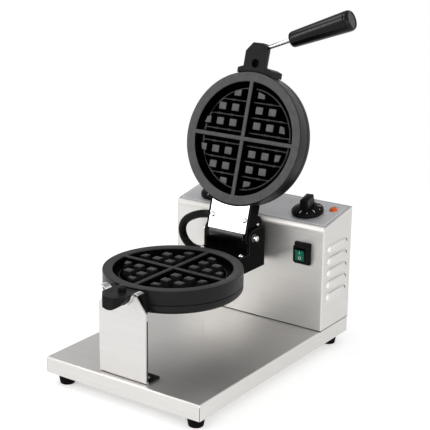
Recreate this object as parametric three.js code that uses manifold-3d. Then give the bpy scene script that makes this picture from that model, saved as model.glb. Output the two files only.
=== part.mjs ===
// Countertop waffle maker with a pair of hinged round grids that turn over on a rotor.
// Millimetres, +Z up, the front towards -Y, the origin on the floor under the middle of the base.

import * as THREE from 'three';
import { mergeVertices } from 'three/addons/utils/BufferGeometryUtils.js';
import Module from 'manifold-3d';

const wasm = await Module();
wasm.setup();

// General fits
const seat = 0.3;
const overrun = 3;
const sheet = 1.2;

// Base tray and its feet
const baseWidth = 284;
const footHeight = 19.5;
const skirtHeight = 24.7;
const trayCornerRadius = 2.7;
const trayBendRadius = 2.6;
const trayFlange = 16;
const trayGusset = 38;
const footInset = 22;
const footTopRadius = 14;
const footSoleRadius = 11;
const footRecessRadius = 5;
const footRecessDepth = 3;
const footStemRadius = 3;
const footStemLength = 9;

// Control housing
const housingSetBack = 16;
const housingDepth = 87.5;
const housingRise = 35.6;
const housingSlope = degrees(10.6);
const housingBrowRadius = 5;
const housingEdgeRadius = 2;
const housingFlange = 10;

// Louvres in each side of the housing
const louvreCount = 5;
const louvrePitch = 20;
const louvreSetBack = 12.2;
const louvreLength = 60;
const louvreRise = 10.5;
const louvreReach = 4.6;
const louvreEndLength = 6;
const louvreEndShares = [0.2, 0.75, 1];

// Console pieces, measured up the slope from its front edge
const overlayFrontInset = 4;
const overlayRearInset = 2;
const overlaySideInset = 1.2;
const overlayThickness = 0.8;
const overlayCornerRadius = 1.5;
const knobOffset = 88.7;
const knobUpSlope = 39.5;
const lampOffset = 122.3;
const lampUpSlope = 62.8;
const lampRadius = 6.8;
const lampRise = 5;
const lampStemRadius = 5;
const lampStemLength = 14;

// Knobs, their shafts and the switches under them
const knobSkirtRadius = 25.7;
const knobSkirtEdge = 3;
const knobSkirtRise = 11;
const knobNeckRadius = 17;
const knobHeight = 34;
const knobGripWidth = 12.4;
const knobGripTopLength = 19;
const knobGripFootLength = 36;
const knobGripCrown = 2;
const knobFloat = 0.6;
const knobUndercutRadius = 21;
const knobUndercutDepth = 2;
const shaftRadius = 3;
const shaftFlat = 2.2;
const shaftClearance = 0.25;
const shaftInKnob = 18;
const shaftInSwitch = 9;
const switchWidth = 44;
const switchDepth = 40;
const switchHeight = 30;
const switchNeckRadius = 5;
const switchCornerRadius = 4;

// Rocker switch on the housing's front
const rockerCentreX = 106.75;
const rockerDrop = 10.5;
const bezelWidth = 27;
const bezelHeight = 35.4;
const bezelThickness = 3.2;
const collarMargin = 2.2;
const collarReach = 7;
const rockerWidth = 17.5;
const rockerHalfHeight = 9.25;
const rockerReach = 11.4;
const rockerDip = 1.3;
const rockerPivotDepth = 2;
const rockerRoot = 6;
const rockerSideGap = 0.5;
const rockerEndGap = 1.6;
const rockerRestTilt = degrees(6);
const switchBodyDepth = 26;
const switchBodyMargin = 3;

// Rotor axis, bearing and hollow shaft
const rotorHeight = 180;
const rotorShaftRadius = 14;
const rotorShaftBore = 10;
const rotorShaftReach = 22.2;
const rotorShaftFlangeRadius = 22;
const rotorShaftFlange = 4;
const bearingHubRadius = 24;
const bearingFlangeRadius = 34;
const bearingFlange = 4;
const bearingSleeveRadius = 19;
const bearingSleeveReach = 13.2;
const bearingClearance = 0.3;

// Front support plate, the cradle liner in it and its foot
const supportInset = 7.6;
const supportStandOff = 15.1;
const supportThickness = 2.5;
const supportHalfWidth = 42.5;
const supportShoulderDrop = 27.5;
const supportPeakMargin = 4;
const supportPeakDrop = 6;
const supportFootDepth = 26.2;
const supportFootChamfer = 5;
const supportBendRadius = 4;
const linerThickness = 1.5;
const linerOverhang = 7.3;
const linerSetBack = 5.2;
const linerClearance = 0.5;
const linerEarRadius = 9.7;
const linerEarRise = 2.5;
const linerEarTurn = degrees(33);

// Waffle plates: the rim plane is the parting plane through the rotor axis
const plateRadius = 105;
const plateCastingDepth = 22;
const plateDepth = 37;
const plateRimChamfer = 1.2;
const plateGap = 0.3;
const plateSkirtWall = 7;
const cavityRadius = 90;
const cavityDepth = 12.5;
const cavityDraft = 1.5;
const cavityFloor = 5;
const dividerWidth = 6.5;
const dividerDraft = 1.4;
const pegStart = 22.3;
const pegPitch = 24.2;
const pegRows = 3;
const pegWidth = 13.4;
const pegLength = 11.7;
const pegDraft = 2.2;
const pegTopDrop = 0.8;
const pegFieldRadius = 77;
const ribWidth = 1.6;
const ribHeight = 1.6;
const ribFieldRadius = 81;
const tongueHalfWidth = 35.4;
const tongueDrop = 14;
const tongueSetBack = 18.4;

// Back covers and the elements between them and the plates
const coverGroove = 0.7;
const coverWall = 2;
const coverCornerRadius = 7;
const elementRadius = 4;
const elementRingRadius = 60;
const elementMouth = degrees(34);
const elementEnd = 84;
const elementSides = 6;

// Lugs opposite the hinge: half a journal each, with wings on the plate's side
const journalRadius = 21.3;
const journalFlat = 2;
const journalReach = 151;
const journalChamferShare = 0.37;
const journalChamferHalfWidth = 9.6;
const wingHalfWidth = 31;
const wingStandOff = 8.5;
const wingEndStandOff = 5;
const wingDepth = 36.5;
const wingRelief = 2;
const wingReliefDepth = 6;
const studStandOff = 13.7;
const studRadius = 6;
const studRise = 8;
const studCrown = 1.5;
const studSpigotRadius = 4;
const studSpigotLength = 9;
const studHoleRadius = 7;
const studHoleDepth = 10;

// Hinge of the lid
const hingeStandOff = 45.4;
const hingeRise = 14.4;
const lidOpenAngle = degrees(105.96);
const hingeBoltRadius = 4;
const hingeBoltClearance = 0.3;
const hingeBoltEnd = 1.2;
const hingeNutRadius = 7.5;
const hingeNutHeight = 5;
const hingeNutSides = 6;
const barrelRadius = 11.5;
const barrelRightEnd = 31;
const spacerRadius = 7;

// Arm of the lid
const armInnerHalfWidth = 36;
const armWall = 2.5;
const armFaceDrop = 0.6;
const armEarReach = 21.2;
const armEarDepth = 26.2;
const armEarRadius = 13.8;
const armEyeRadius = 12.4;
const armPlateGap = 1;
const armLip = 8;
const coverPlateHalfWidth = 35;
const coverPlateThickness = 1.2;
const coverPlateSetBack = 4.3;
const coverPlateGap = 2;

// Bracket that carries the plates on the rotor
const bracketSheet = 3.5;
const bracketHalfWidth = 43.5;
const bracketFrontMargin = 10.4;
const bracketRearMargin = 33;
const bracketDrop = 38.3;
const bracketRise = 27.5;
const bracketFrontRound = 14;
const bracketRearRound = 3;
const bracketShelfMargin = 7.2;
const bracketOverlap = 10.5;

// Handle on the lid
const handleAngle = degrees(21.8);
const handleStartX = 12;
const handleSetBack = 6;
const handleDepth = 10;
const handleRodRadius = 3;
const handleRodInLug = 11;
const handleRodShown = 44.8;
const handleRodInGrip = 30;
const gripLength = 106;
const gripNeckRadius = 12.3;
const gripEndRadius = 16.2;
const gripRound = 3;
const gripCapLength = 9;
const gripCapRound = 5;
const gripSpigotRadius = 9;
const gripSpigotLength = 8;

// Hose between the lid's arm and the bracket, with its glands
const hoseRadius = 6.5;
const hoseWall = 2.4;
const hoseSides = 8;
const hoseSteps = 24;
const hoseStraight = 4;
const hoseReach = 60;
const hoseSidewaysShares = [
  0.152, 0.302, 0.448, 0.588, 0.723, 0.845, 0.94, 0.995, 1, 0.958, 0.868, 0.745, 0.598, 0.447, 0.293,
];
const hoseDownwardShares = [
  0.008, 0.034, 0.076, 0.131, 0.197, 0.282, 0.39, 0.52, 0.649, 0.784, 0.896, 0.977, 1.015, 1.018, 1.006,
];
const lowerGlandRadius = 8.5;
const lowerGlandLength = 6;
const upperGlandRadius = 7.6;
const upperGlandLength = 2.5;
const upperGlandShare = 0.504;
const upperGlandDepth = 12.2;
const lowerGlandSetBack = 13.2;
const lowerGlandDrop = 28.6;

// Mains gland in the rear panel
const mainsGlandX = 96;
const mainsGlandZ = 72;
const mainsGlandRadius = 11;
const mainsGlandBore = 4.5;
const mainsGlandReach = 20;
const mainsGlandNutRadius = 13;
const mainsGlandNut = 6;
const mainsGlandSpigotRadius = 8;
const mainsGlandTaperShare = 0.75;

// Counts of facets
const bigSides = 48;
const middleSides = 28;
const gripSides = 20;
const smallSides = 16;
const cornerSteps = 3;
const quarterSteps = 6;
const linerSteps = 9;
const eyeSteps = 12;
const notchSteps = 18;

// Values worked out from the sizes above
const hingeReach = plateRadius + hingeStandOff;
const supportReach = plateRadius + supportStandOff;
const housingReach = hingeReach + bracketRearMargin + housingSetBack;
const baseDepth = supportInset + supportReach + housingReach + housingDepth;
const halfDepth = baseDepth / 2;
const plateCentreFront = halfDepth - supportInset - supportReach;
const hingeY = hingeReach - plateCentreFront;
const hingeZ = rotorHeight + hingeRise;
const bracketFront = hingeY - bracketFrontMargin;
const bracketRear = hingeY + bracketRearMargin;
const bracketShelfRear = hingeY + bracketShelfMargin;
const lowerGlandY = hingeY + lowerGlandSetBack;
const bracketBottom = rotorHeight - bracketDrop;
const bracketTop = rotorHeight + bracketRise;
const housingFront = bracketRear + housingSetBack;
const housingFrontTop = rotorHeight + housingRise;
const halfWidth = baseWidth / 2;
const trayTop = footHeight + skirtHeight;
const housingBottom = trayTop + seat;
const slopeTangent = Math.tan(housingSlope);
const slopeCosine = Math.cos(housingSlope);
const slopeLength = (halfDepth - housingFront) / slopeCosine;
const armBack = plateCastingDepth + seat + armWall;
const armOuterHalfWidth = armInnerHalfWidth + armWall;
const bracketInnerHalfWidth = bracketHalfWidth - bracketSheet;
const bracketShelfTop = rotorHeight - tongueDrop + seat + bracketSheet;
const linerInnerRadius = journalRadius + linerClearance;
const supportFront = plateCentreFront + supportReach;
const supportShoulder = rotorHeight - supportShoulderDrop;
const supportPeakX = journalRadius + supportPeakMargin;
const supportPeakHeight = rotorHeight - supportPeakDrop;
const wingReach = plateRadius + wingStandOff;
const studReach = plateRadius + studStandOff;
const coverPlateRadius = plateRadius + coverPlateGap;
const rockerCentreZ = rotorHeight - rockerDrop;
const louvreFront = housingFront + louvreSetBack;
const shaftFlangeFront = bracketRear + seat;
const bearingFront = shaftFlangeFront + rotorShaftFlange + seat;
const overlayTop = seat + overlayThickness;

// Materials
const brushedSteel = paint(0xd8d4d0, 0.32, 0.9);
const satinSteel = paint(0xe2dedb, 0.4, 0.85);
const whiteSteel = paint(0xf4f3f2, 0.35, 0.7);
const brightSteel = paint(0xd0d0ce, 0.2, 1);
const greyFilm = paint(0x9a9ca0, 0.5, 0.3);
const castIron = paint(0x3a3b3c, 0.55, 0.4);
const blackPaint = paint(0x0c0c0d, 0.45, 0.3);
const blackPlastic = paint(0x101011, 0.4, 0);
const blackRubber = paint(0x141414, 0.8, 0);
const greenLens = paint(0x14523f, 0.25, 0);
const orangeLens = paint(0xd8560f, 0.2, 0);
const elementSteel = paint(0x6a665f, 0.5, 0.8);

function degrees(angle) {
  return THREE.MathUtils.degToRad(angle);
}

function paint(color, roughness, metalness) {
  return new THREE.MeshStandardMaterial({ color, roughness, metalness, flatShading: true });
}

// A geometry as a closed solid with its faces pointing out
function solid(geometry) {
  const bare = new THREE.BufferGeometry();
  bare.setAttribute('position', geometry.getAttribute('position').clone());
  bare.setIndex(geometry.index);
  const merged = mergeVertices(bare);
  const corners = merged.index.array;
  const position = merged.getAttribute('position');
  const [a, b, c] = [new THREE.Vector3(), new THREE.Vector3(), new THREE.Vector3()];
  const triangles = [];
  let volume = 0;
  for (let i = 0; i < corners.length; i += 3) {
    const [p, q, r] = [corners[i], corners[i + 1], corners[i + 2]];
    if (p !== q && q !== r && r !== p) {
      triangles.push([p, q, r]);
      a.fromBufferAttribute(position, p);
      b.fromBufferAttribute(position, q);
      c.fromBufferAttribute(position, r);
      volume += a.dot(b.cross(c));
    }
  }
  const outward = volume < 0 ? triangles.map(([p, q, r]) => [p, r, q]) : triangles;
  return new wasm.Manifold(new wasm.Mesh({
    numProp: 3,
    vertProperties: new Float32Array(position.array),
    triVerts: new Uint32Array(outward.flat()),
  }));
}

function join(first, ...others) {
  return others.reduce((body, other) => body.add(other), first);
}

function cut(body, ...tools) {
  return tools.reduce((rest, tool) => rest.subtract(tool), body);
}

function common(first, ...others) {
  return others.reduce((body, other) => body.intersect(other), first);
}

function mirrored(build) {
  return [-1, 1].map(build);
}

// A solid placed in a group as a named mesh
function place(group, name, body, material) {
  const mesh = body.getMesh();
  const geometry = new THREE.BufferGeometry();
  geometry.setAttribute('position', new THREE.BufferAttribute(new Float32Array(mesh.vertProperties), 3));
  geometry.setIndex(new THREE.BufferAttribute(new Uint32Array(mesh.triVerts), 1));
  geometry.computeVertexNormals();
  const node = new THREE.Mesh(geometry, material);
  node.name = name;
  group.add(node);
  return node;
}

function groupAt(parent, x, y, z) {
  const group = new THREE.Group();
  group.position.set(x, y, z);
  parent.add(group);
  return group;
}

// Points of an arc, from one angle to another
function arc(centreA, centreB, radius, from, to, steps) {
  const points = [];
  for (let i = 0; i <= steps; i += 1) {
    const angle = from + (to - from) * i / steps;
    points.push([centreA + radius * Math.cos(angle), centreB + radius * Math.sin(angle)]);
  }
  return points;
}

function outline(points) {
  return new THREE.Shape(points.map(([a, b]) => new THREE.Vector2(a, b)));
}

function extruded(points, depth) {
  return new THREE.ExtrudeGeometry(outline(points), { depth, bevelEnabled: false });
}

// An outline in y and z, run along X
function alongX(points, from, to) {
  const geometry = extruded(points, to - from);
  geometry.applyMatrix4(new THREE.Matrix4().makeBasis(
    new THREE.Vector3(0, 1, 0),
    new THREE.Vector3(0, 0, 1),
    new THREE.Vector3(1, 0, 0),
  ));
  return solid(geometry.translate(from, 0, 0));
}

// An outline in x and z, run along Y
function alongY(points, from, to) {
  const geometry = extruded(points, to - from);
  geometry.rotateX(Math.PI / 2);
  return solid(geometry.translate(0, to, 0));
}

// An outline in x and y, run along Z
function alongZ(points, from, to) {
  return solid(extruded(points, to - from).translate(0, 0, from));
}

function block(x0, x1, y0, y1, z0, z1) {
  const geometry = new THREE.BoxGeometry(x1 - x0, y1 - y0, z1 - z0);
  return solid(geometry.translate((x0 + x1) / 2, (y0 + y1) / 2, (z0 + z1) / 2));
}

// A profile of radius and height, turned about the local Z axis
function turned(profile, facets) {
  const points = profile.map(([radius, height]) => new THREE.Vector2(radius, height));
  return new THREE.LatheGeometry(points, facets).rotateX(Math.PI / 2);
}

// The same profile with its height running along +Y, or along +X
function turnedAlongY(profile, facets) {
  return turned(profile, facets).rotateX(-Math.PI / 2);
}

function turnedAlongX(profile, facets) {
  return turned(profile, facets).rotateY(Math.PI / 2);
}

function rodProfile(radius, from, to) {
  return [[0, from], [radius, from], [radius, to], [0, to]];
}

function ringProfile(inner, outer, from, to) {
  return [[inner, from], [outer, from], [outer, to], [inner, to], [inner, from]];
}

function rodX(radius, x0, x1, y, z, facets) {
  return solid(turnedAlongX(rodProfile(radius, x0, x1), facets).translate(0, y, z));
}

function rodY(radius, y0, y1, x, z, facets) {
  return solid(turnedAlongY(rodProfile(radius, y0, y1), facets).translate(x, 0, z));
}

function rodZ(radius, z0, z1, x, y, facets) {
  return solid(turned(rodProfile(radius, z0, z1), facets).translate(x, y, 0));
}

// Convex rings of equally many points, skinned and capped
function loft(rings) {
  const count = rings[0].length;
  const index = [];
  for (let ring = 0; ring + 1 < rings.length; ring += 1) {
    for (let i = 0; i < count; i += 1) {
      const next = (i + 1) % count;
      const [a, b] = [ring * count + i, ring * count + next];
      index.push(a, b, b + count, a, b + count, a + count);
    }
  }
  const last = (rings.length - 1) * count;
  for (let i = 1; i + 1 < count; i += 1) {
    index.push(0, i + 1, i, last, last + i, last + i + 1);
  }
  const geometry = new THREE.BufferGeometry();
  geometry.setAttribute('position', new THREE.Float32BufferAttribute(rings.flat(2), 3));
  geometry.setIndex(index);
  return solid(geometry);
}

function rectangle(halfX, halfY) {
  return [[-halfX, -halfY], [halfX, -halfY], [halfX, halfY], [-halfX, halfY]];
}

function roundedRectangle(halfX, halfY, radius) {
  const [x, y] = [halfX - radius, halfY - radius];
  return [
    ...arc(x, -y, radius, -Math.PI / 2, 0, cornerSteps),
    ...arc(x, y, radius, 0, Math.PI / 2, cornerSteps),
    ...arc(-x, y, radius, Math.PI / 2, Math.PI, cornerSteps),
    ...arc(-x, -y, radius, Math.PI, Math.PI * 3 / 2, cornerSteps),
  ];
}

function chamferedRectangle(halfX, halfY, chamfer) {
  const [x, y] = [halfX - chamfer, halfY - chamfer];
  return [
    [-x, -halfY], [x, -halfY], [halfX, -y], [halfX, y],
    [x, halfY], [-x, halfY], [-halfX, y], [-halfX, -y],
  ];
}

function atHeight(points, height) {
  return points.map(([x, y]) => [x, y, height]);
}

// A block with its top edges rounded, as a tray's bent sheet is
function trayBody(inset, bottom, top) {
  const bend = trayBendRadius - inset;
  const rings = [atHeight(trayRing(inset, 0), bottom)];
  for (const [run, rise] of arc(bend, 0, bend, Math.PI, Math.PI / 2, cornerSteps)) {
    rings.push(atHeight(trayRing(inset, run), top - bend + rise));
  }
  return loft(rings);
}

function trayRing(inset, run) {
  const shift = inset + run;
  return roundedRectangle(halfWidth - shift, halfDepth - shift, trayCornerRadius - shift);
}

function footPlaces() {
  const [x, y] = [halfWidth - footInset, halfDepth - footInset];
  return {
    foot_front_left: [-x, -y], foot_front_right: [x, -y], foot_rear_left: [-x, y], foot_rear_right: [x, y],
  };
}

// Base tray: a folded sheet with a flange all round underneath, gusseted at the feet
function baseTray() {
  const mouth = chamferedRectangle(halfWidth - trayFlange, halfDepth - trayFlange, trayGusset);
  const stemHoles = Object.values(footPlaces()).map(([x, y]) => (
    rodZ(footStemRadius + seat, footHeight - overrun, footHeight + sheet + overrun, x, y, smallSides)
  ));
  return cut(
    trayBody(0, footHeight, trayTop),
    trayBody(sheet, footHeight + sheet, trayTop - sheet),
    alongZ(mouth, footHeight - overrun, footHeight + sheet + overrun),
    ...stemHoles,
  );
}

function foot() {
  const top = footHeight - seat;
  const stemTop = top + footStemLength;
  return solid(turned([
    [0, footRecessDepth], [footRecessRadius, footRecessDepth], [footRecessRadius, 0], [footSoleRadius, 0],
    [footTopRadius, top], [footStemRadius, top], [footStemRadius, stemTop], [0, stemTop],
  ], smallSides));
}

// Height of the housing's sloping top at a place in y, a distance inside its skin
function housingTopAt(y, inset) {
  return housingFrontTop + (y - housingFront) * slopeTangent - inset / slopeCosine;
}

// Side view of the housing in y and z, drawn in by one distance all round
function housingSection(inset, rear, bottom) {
  const front = housingFront + inset;
  const round = Math.max(housingBrowRadius - inset, sheet);
  const browY = front + round;
  const browZ = housingTopAt(browY, inset) - round / slopeCosine;
  return [
    [front, bottom], [rear, bottom], [rear, housingTopAt(rear, inset)],
    ...arc(browY, browZ, round, Math.PI / 2 + housingSlope, Math.PI, cornerSteps),
  ];
}

// Side view of a slice of the housing's room between two places in y
function sliceSection(inset, front, rear, bottom) {
  const [frontTop, rearTop] = [housingTopAt(front, inset), housingTopAt(rear, inset)];
  return [[front, bottom], [rear, bottom], [rear, rearTop], [front, frontTop]];
}

// One louvre pressed out of the side: a hood that opens downwards, closed and rounded at its ends.
// With a wall of zero it is the outer form, and with the sheet's thickness the room cut out of it.
function louvreHood(side, height, wall) {
  const [reach, rise] = [louvreReach - wall, louvreRise - wall];
  const [start, end] = [louvreFront + wall, louvreFront + louvreLength - wall];
  const sill = height - louvreRise / 2;
  const bottom = sill - wall;
  const root = wall > 0 ? halfWidth - sheet - overrun : halfWidth - sheet / 2;
  const step = louvreEndLength / (louvreEndShares.length - 1);
  const places = [
    ...louvreEndShares.map((fullness, i) => [start + step * i, fullness]),
    ...louvreEndShares.map((fullness, i) => [end - step * i, fullness]).reverse(),
  ];
  const rings = places.map(([y, fullness]) => {
    const [out, up] = [reach * fullness, rise * fullness];
    const bow = arc(0, 0, 1, 0, Math.PI / 2, cornerSteps)
      .map(([across, along]) => [halfWidth + out * across, sill + up * along]);
    const section = [[root, bottom], [halfWidth + out, bottom], ...bow, [root, sill + up]];
    return section.map(([x, z]) => [side * x, y, z]);
  });
  return loft(rings);
}

function louvreHeights() {
  return Array.from({ length: louvreCount }, (_, i) => rotorHeight - louvrePitch * i);
}

// A point of the console, from its place up the slope, as the depth in y
function consoleHole(radius, x, upSlope) {
  const hole = turned(rodProfile(radius, -sheet - overrun, overlayTop + overrun), smallSides);
  hole.translate(x, upSlope, 0).rotateX(housingSlope);
  return solid(hole.translate(0, housingFront, housingFrontTop));
}

function consoleHoles(clearance) {
  return [
    ...mirrored((side) => [switchNeckRadius + clearance, side * knobOffset, knobUpSlope]),
    [lampStemRadius + clearance, lampOffset, lampUpSlope],
  ];
}

// Housing: front, top and sides of folded sheet, open behind and below inside its flanges
function controlHousing() {
  const corner = housingEdgeRadius;
  const frontCorner = arc(halfWidth - corner, housingFront + corner, corner, -Math.PI / 2, 0, cornerSteps);
  const plan = [
    ...frontCorner, [halfWidth, halfDepth], [-halfWidth, halfDepth],
    ...frontCorner.map(([x, y]) => [-x, y]).reverse(),
  ];
  const skin = common(
    alongX(housingSection(0, halfDepth, housingBottom), -halfWidth, halfWidth),
    alongZ(plan, 0, housingFrontTop + halfDepth),
  );
  const panelSeat = halfDepth - sheet - seat;
  const [inner, rim] = [halfWidth - sheet, sheet + housingFlange];
  const floor = housingBottom + sheet;
  const openings = [
    alongX(housingSection(sheet, panelSeat - sheet, floor), -inner, inner),
    alongX(
      sliceSection(rim, housingFront + rim, halfDepth + overrun, floor + housingFlange),
      -inner + housingFlange, inner - housingFlange,
    ),
    alongX(sliceSection(sheet, panelSeat, halfDepth + overrun, housingBottom - overrun), -inner, inner),
    block(
      -inner + housingFlange, inner - housingFlange, housingFront + rim, panelSeat - rim,
      housingBottom - overrun, floor + overrun,
    ),
    rodY(bearingSleeveRadius + seat, housingFront - overrun, housingFront + rim, 0, rotorHeight, middleSides),
    rockerCutout(),
    ...consoleHoles(seat).map(([radius, x, up]) => consoleHole(radius, x, up)),
  ];
  const hoods = [];
  const slots = [];
  for (const side of [-1, 1]) {
    for (const height of louvreHeights()) {
      hoods.push(louvreHood(side, height, 0));
      slots.push(louvreHood(side, height, sheet));
    }
  }
  return cut(join(skin, ...hoods), ...openings, ...slots);
}

// Rear panel, set into the housing's rear, with the mains gland's hole
function rearPanel() {
  const [front, rear] = [halfDepth - sheet, halfDepth];
  const inner = halfWidth - sheet - seat;
  const bore = mainsGlandSpigotRadius + seat;
  return cut(
    alongX(sliceSection(sheet + seat, front, rear, housingBottom), -inner, inner),
    rodY(bore, front - overrun, rear + overrun, mainsGlandX, mainsGlandZ, smallSides),
  );
}

function mainsGland() {
  const start = halfDepth - mainsGlandNut - sheet;
  const flangeFront = halfDepth + seat;
  const flangeRear = flangeFront + mainsGlandNut;
  const end = flangeFront + mainsGlandReach;
  const profile = [
    [mainsGlandBore, start], [mainsGlandSpigotRadius, start],
    [mainsGlandSpigotRadius, flangeFront], [mainsGlandNutRadius, flangeFront],
    [mainsGlandNutRadius, flangeRear], [mainsGlandRadius, flangeRear],
    [mainsGlandRadius * mainsGlandTaperShare, end], [mainsGlandBore, end], [mainsGlandBore, start],
  ];
  return solid(turnedAlongY(profile, smallSides).translate(mainsGlandX, 0, mainsGlandZ));
}

// Overlay film on the console, in the console's own frame
function consoleOverlay() {
  const halfSlope = (slopeLength - overlayFrontInset - overlayRearInset) / 2;
  const middle = overlayFrontInset + halfSlope;
  const film = roundedRectangle(halfWidth - overlaySideInset, halfSlope, overlayCornerRadius)
    .map(([x, y]) => [x, y + middle]);
  const holes = consoleHoles(seat).map(([radius, x, up]) => (
    rodZ(radius, seat - overrun, overlayTop + overrun, x, up, smallSides)
  ));
  return cut(alongZ(film, seat, overlayTop), ...holes);
}

// Pilot lamp: a domed lens on a stem through the console
function pilotLamp() {
  const foot = overlayTop + seat;
  const dome = arc(0, foot, 1, 0, Math.PI / 2, quarterSteps)
    .map(([out, up]) => [lampRadius * out, foot + (up - foot) * lampRise]);
  dome[dome.length - 1][0] = 0;
  const profile = [
    [0, -lampStemLength], [lampStemRadius, -lampStemLength], [lampStemRadius, foot],
    ...dome,
  ];
  return solid(turned(profile, smallSides).translate(lampOffset, lampUpSlope, 0));
}

// Knob: a conical skirt with a tapered bar grip, undercut below and bored for its shaft
function knob() {
  const bottom = overlayTop + knobFloat;
  const skirt = solid(turned([
    [0, bottom], [knobSkirtRadius, bottom], [knobSkirtRadius, bottom + knobSkirtEdge],
    [knobNeckRadius, bottom + knobSkirtRise], [0, bottom + knobSkirtRise],
  ], middleSides));
  const top = bottom + knobHeight;
  const rootHeight = bottom + knobSkirtEdge;
  const crown = knobGripCrown;
  const [width, length] = [knobGripWidth / 2, knobGripTopLength / 2];
  const grip = loft([
    atHeight(roundedRectangle(width, knobGripFootLength / 2, crown), rootHeight),
    atHeight(roundedRectangle(width, length, crown), top - crown),
    atHeight(roundedRectangle(width - crown / 2, length - crown / 2, crown / 2), top),
  ]);
  const undercutTop = bottom + knobUndercutDepth;
  const undercut = rodZ(knobUndercutRadius, bottom - overrun, undercutTop, 0, 0, middleSides);
  const hub = rodZ(switchNeckRadius + shaftRadius, bottom, undercutTop + overrun, 0, 0, smallSides);
  const bore = shaftBody(shaftClearance, bottom - overrun, bottom + shaftInKnob + shaftClearance);
  return cut(join(cut(join(skirt, grip), undercut), hub), bore);
}

// A round shaft with one flat, grown all round by a clearance
function shaftBody(clearance, from, to) {
  const radius = shaftRadius + clearance;
  const flat = shaftFlat + clearance;
  const halfAngle = Math.acos(flat / radius);
  const start = halfAngle - Math.PI * 3 / 2;
  return alongZ(arc(0, 0, radius, start, Math.PI / 2 - halfAngle, smallSides), from, to);
}

function knobShaft() {
  return shaftBody(0, -sheet - seat - shaftInSwitch, overlayTop + knobFloat + shaftInKnob);
}

// Switch body under the console, with a neck through the sheet
function switchBody() {
  const top = -sheet - seat;
  const plan = roundedRectangle(switchWidth / 2, switchDepth / 2, switchCornerRadius);
  const body = alongZ(plan, top - switchHeight, top);
  const neck = rodZ(switchNeckRadius, top - switchHeight / 2, overlayTop, 0, 0, smallSides);
  const boreRadius = shaftRadius + shaftClearance;
  const bore = rodZ(boreRadius, top - shaftInSwitch - seat, overlayTop + overrun, 0, 0, smallSides);
  return cut(join(body, neck), bore);
}

function rockerCutout() {
  const [x, z] = [rockerCentreX, rockerCentreZ];
  const halfX = bezelWidth / 2 - switchBodyMargin + seat;
  const halfZ = bezelHeight / 2 - switchBodyMargin + seat;
  const [front, rear] = [housingFront - overrun, housingFront + sheet + overrun];
  return block(x - halfX, x + halfX, front, rear, z - halfZ, z + halfZ);
}

// Rocker switch: bezel, raised collar and body as one moulding, with the well the rocker turns in
function rockerBezel() {
  const front = -seat;
  const plate = rectangle(bezelWidth / 2, bezelHeight / 2);
  const rim = rectangle(bezelWidth / 2 - collarMargin, bezelHeight / 2 - collarMargin);
  const body = rectangle(bezelWidth / 2 - switchBodyMargin, bezelHeight / 2 - switchBodyMargin);
  const well = rectangle(rockerWidth / 2 + rockerSideGap, rockerHalfHeight + rockerEndGap);
  return cut(
    join(
      alongY(plate, front - bezelThickness, front),
      alongY(rim, front - collarReach, front - bezelThickness / 2),
      alongY(body, front - bezelThickness / 2, switchBodyDepth),
    ),
    alongY(well, front - collarReach - overrun, rockerRoot + rockerEndGap),
  );
}

// Rocker seen from its side: a dished face over a rounded root, about its pivot
function rockerKey() {
  const face = -rockerReach + rockerPivotDepth;
  const root = rockerRoot;
  const section = [
    [face, -rockerHalfHeight], [face + rockerDip, 0], [face, rockerHalfHeight],
    ...arc(0, 0, rockerHalfHeight, Math.PI / 2, -Math.PI / 2, quarterSteps)
      .map(([y, z]) => [Math.min(y, root), z]),
  ];
  return alongX(section, -rockerWidth / 2, rockerWidth / 2);
}

// Front support: a plate bent at the foot, shouldered and notched for the journal
function frontSupport() {
  const [front, rear, bottom] = [-supportFront, -supportFront + supportThickness, trayTop + seat];
  const footRear = front + supportFootDepth;
  const bend = supportBendRadius;
  const inner = bend - supportThickness;
  const side = [
    [rear, supportPeakHeight], [front, supportPeakHeight],
    ...arc(front + bend, bottom + bend, bend, Math.PI, Math.PI * 3 / 2, cornerSteps),
    [footRear, bottom], [footRear, bottom + supportThickness],
    ...arc(front + bend, bottom + bend, inner, Math.PI * 3 / 2, Math.PI, cornerSteps),
  ];
  const notchRadius = linerInnerRadius + linerThickness + seat;
  const drop = rotorHeight - supportPeakHeight;
  const lip = Math.asin(drop / notchRadius);
  const face = [
    [-supportHalfWidth, bottom - overrun], [supportHalfWidth, bottom - overrun],
    [supportHalfWidth, supportShoulder], [supportPeakX, supportPeakHeight],
    ...arc(0, rotorHeight, notchRadius, -lip, -Math.PI + lip, notchSteps),
    [-supportPeakX, supportPeakHeight], [-supportHalfWidth, supportShoulder],
  ];
  const plan = [
    [-supportHalfWidth, front - overrun], [supportHalfWidth, front - overrun],
    [supportHalfWidth, footRear - supportFootChamfer],
    [supportHalfWidth - supportFootChamfer, footRear], [-supportHalfWidth + supportFootChamfer, footRear],
    [-supportHalfWidth, footRear - supportFootChamfer],
  ];
  return common(
    alongX(side, -supportHalfWidth, supportHalfWidth),
    alongY(face, front - overrun, footRear + overrun),
    alongZ(plan, 0, rotorHeight),
  );
}

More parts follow.
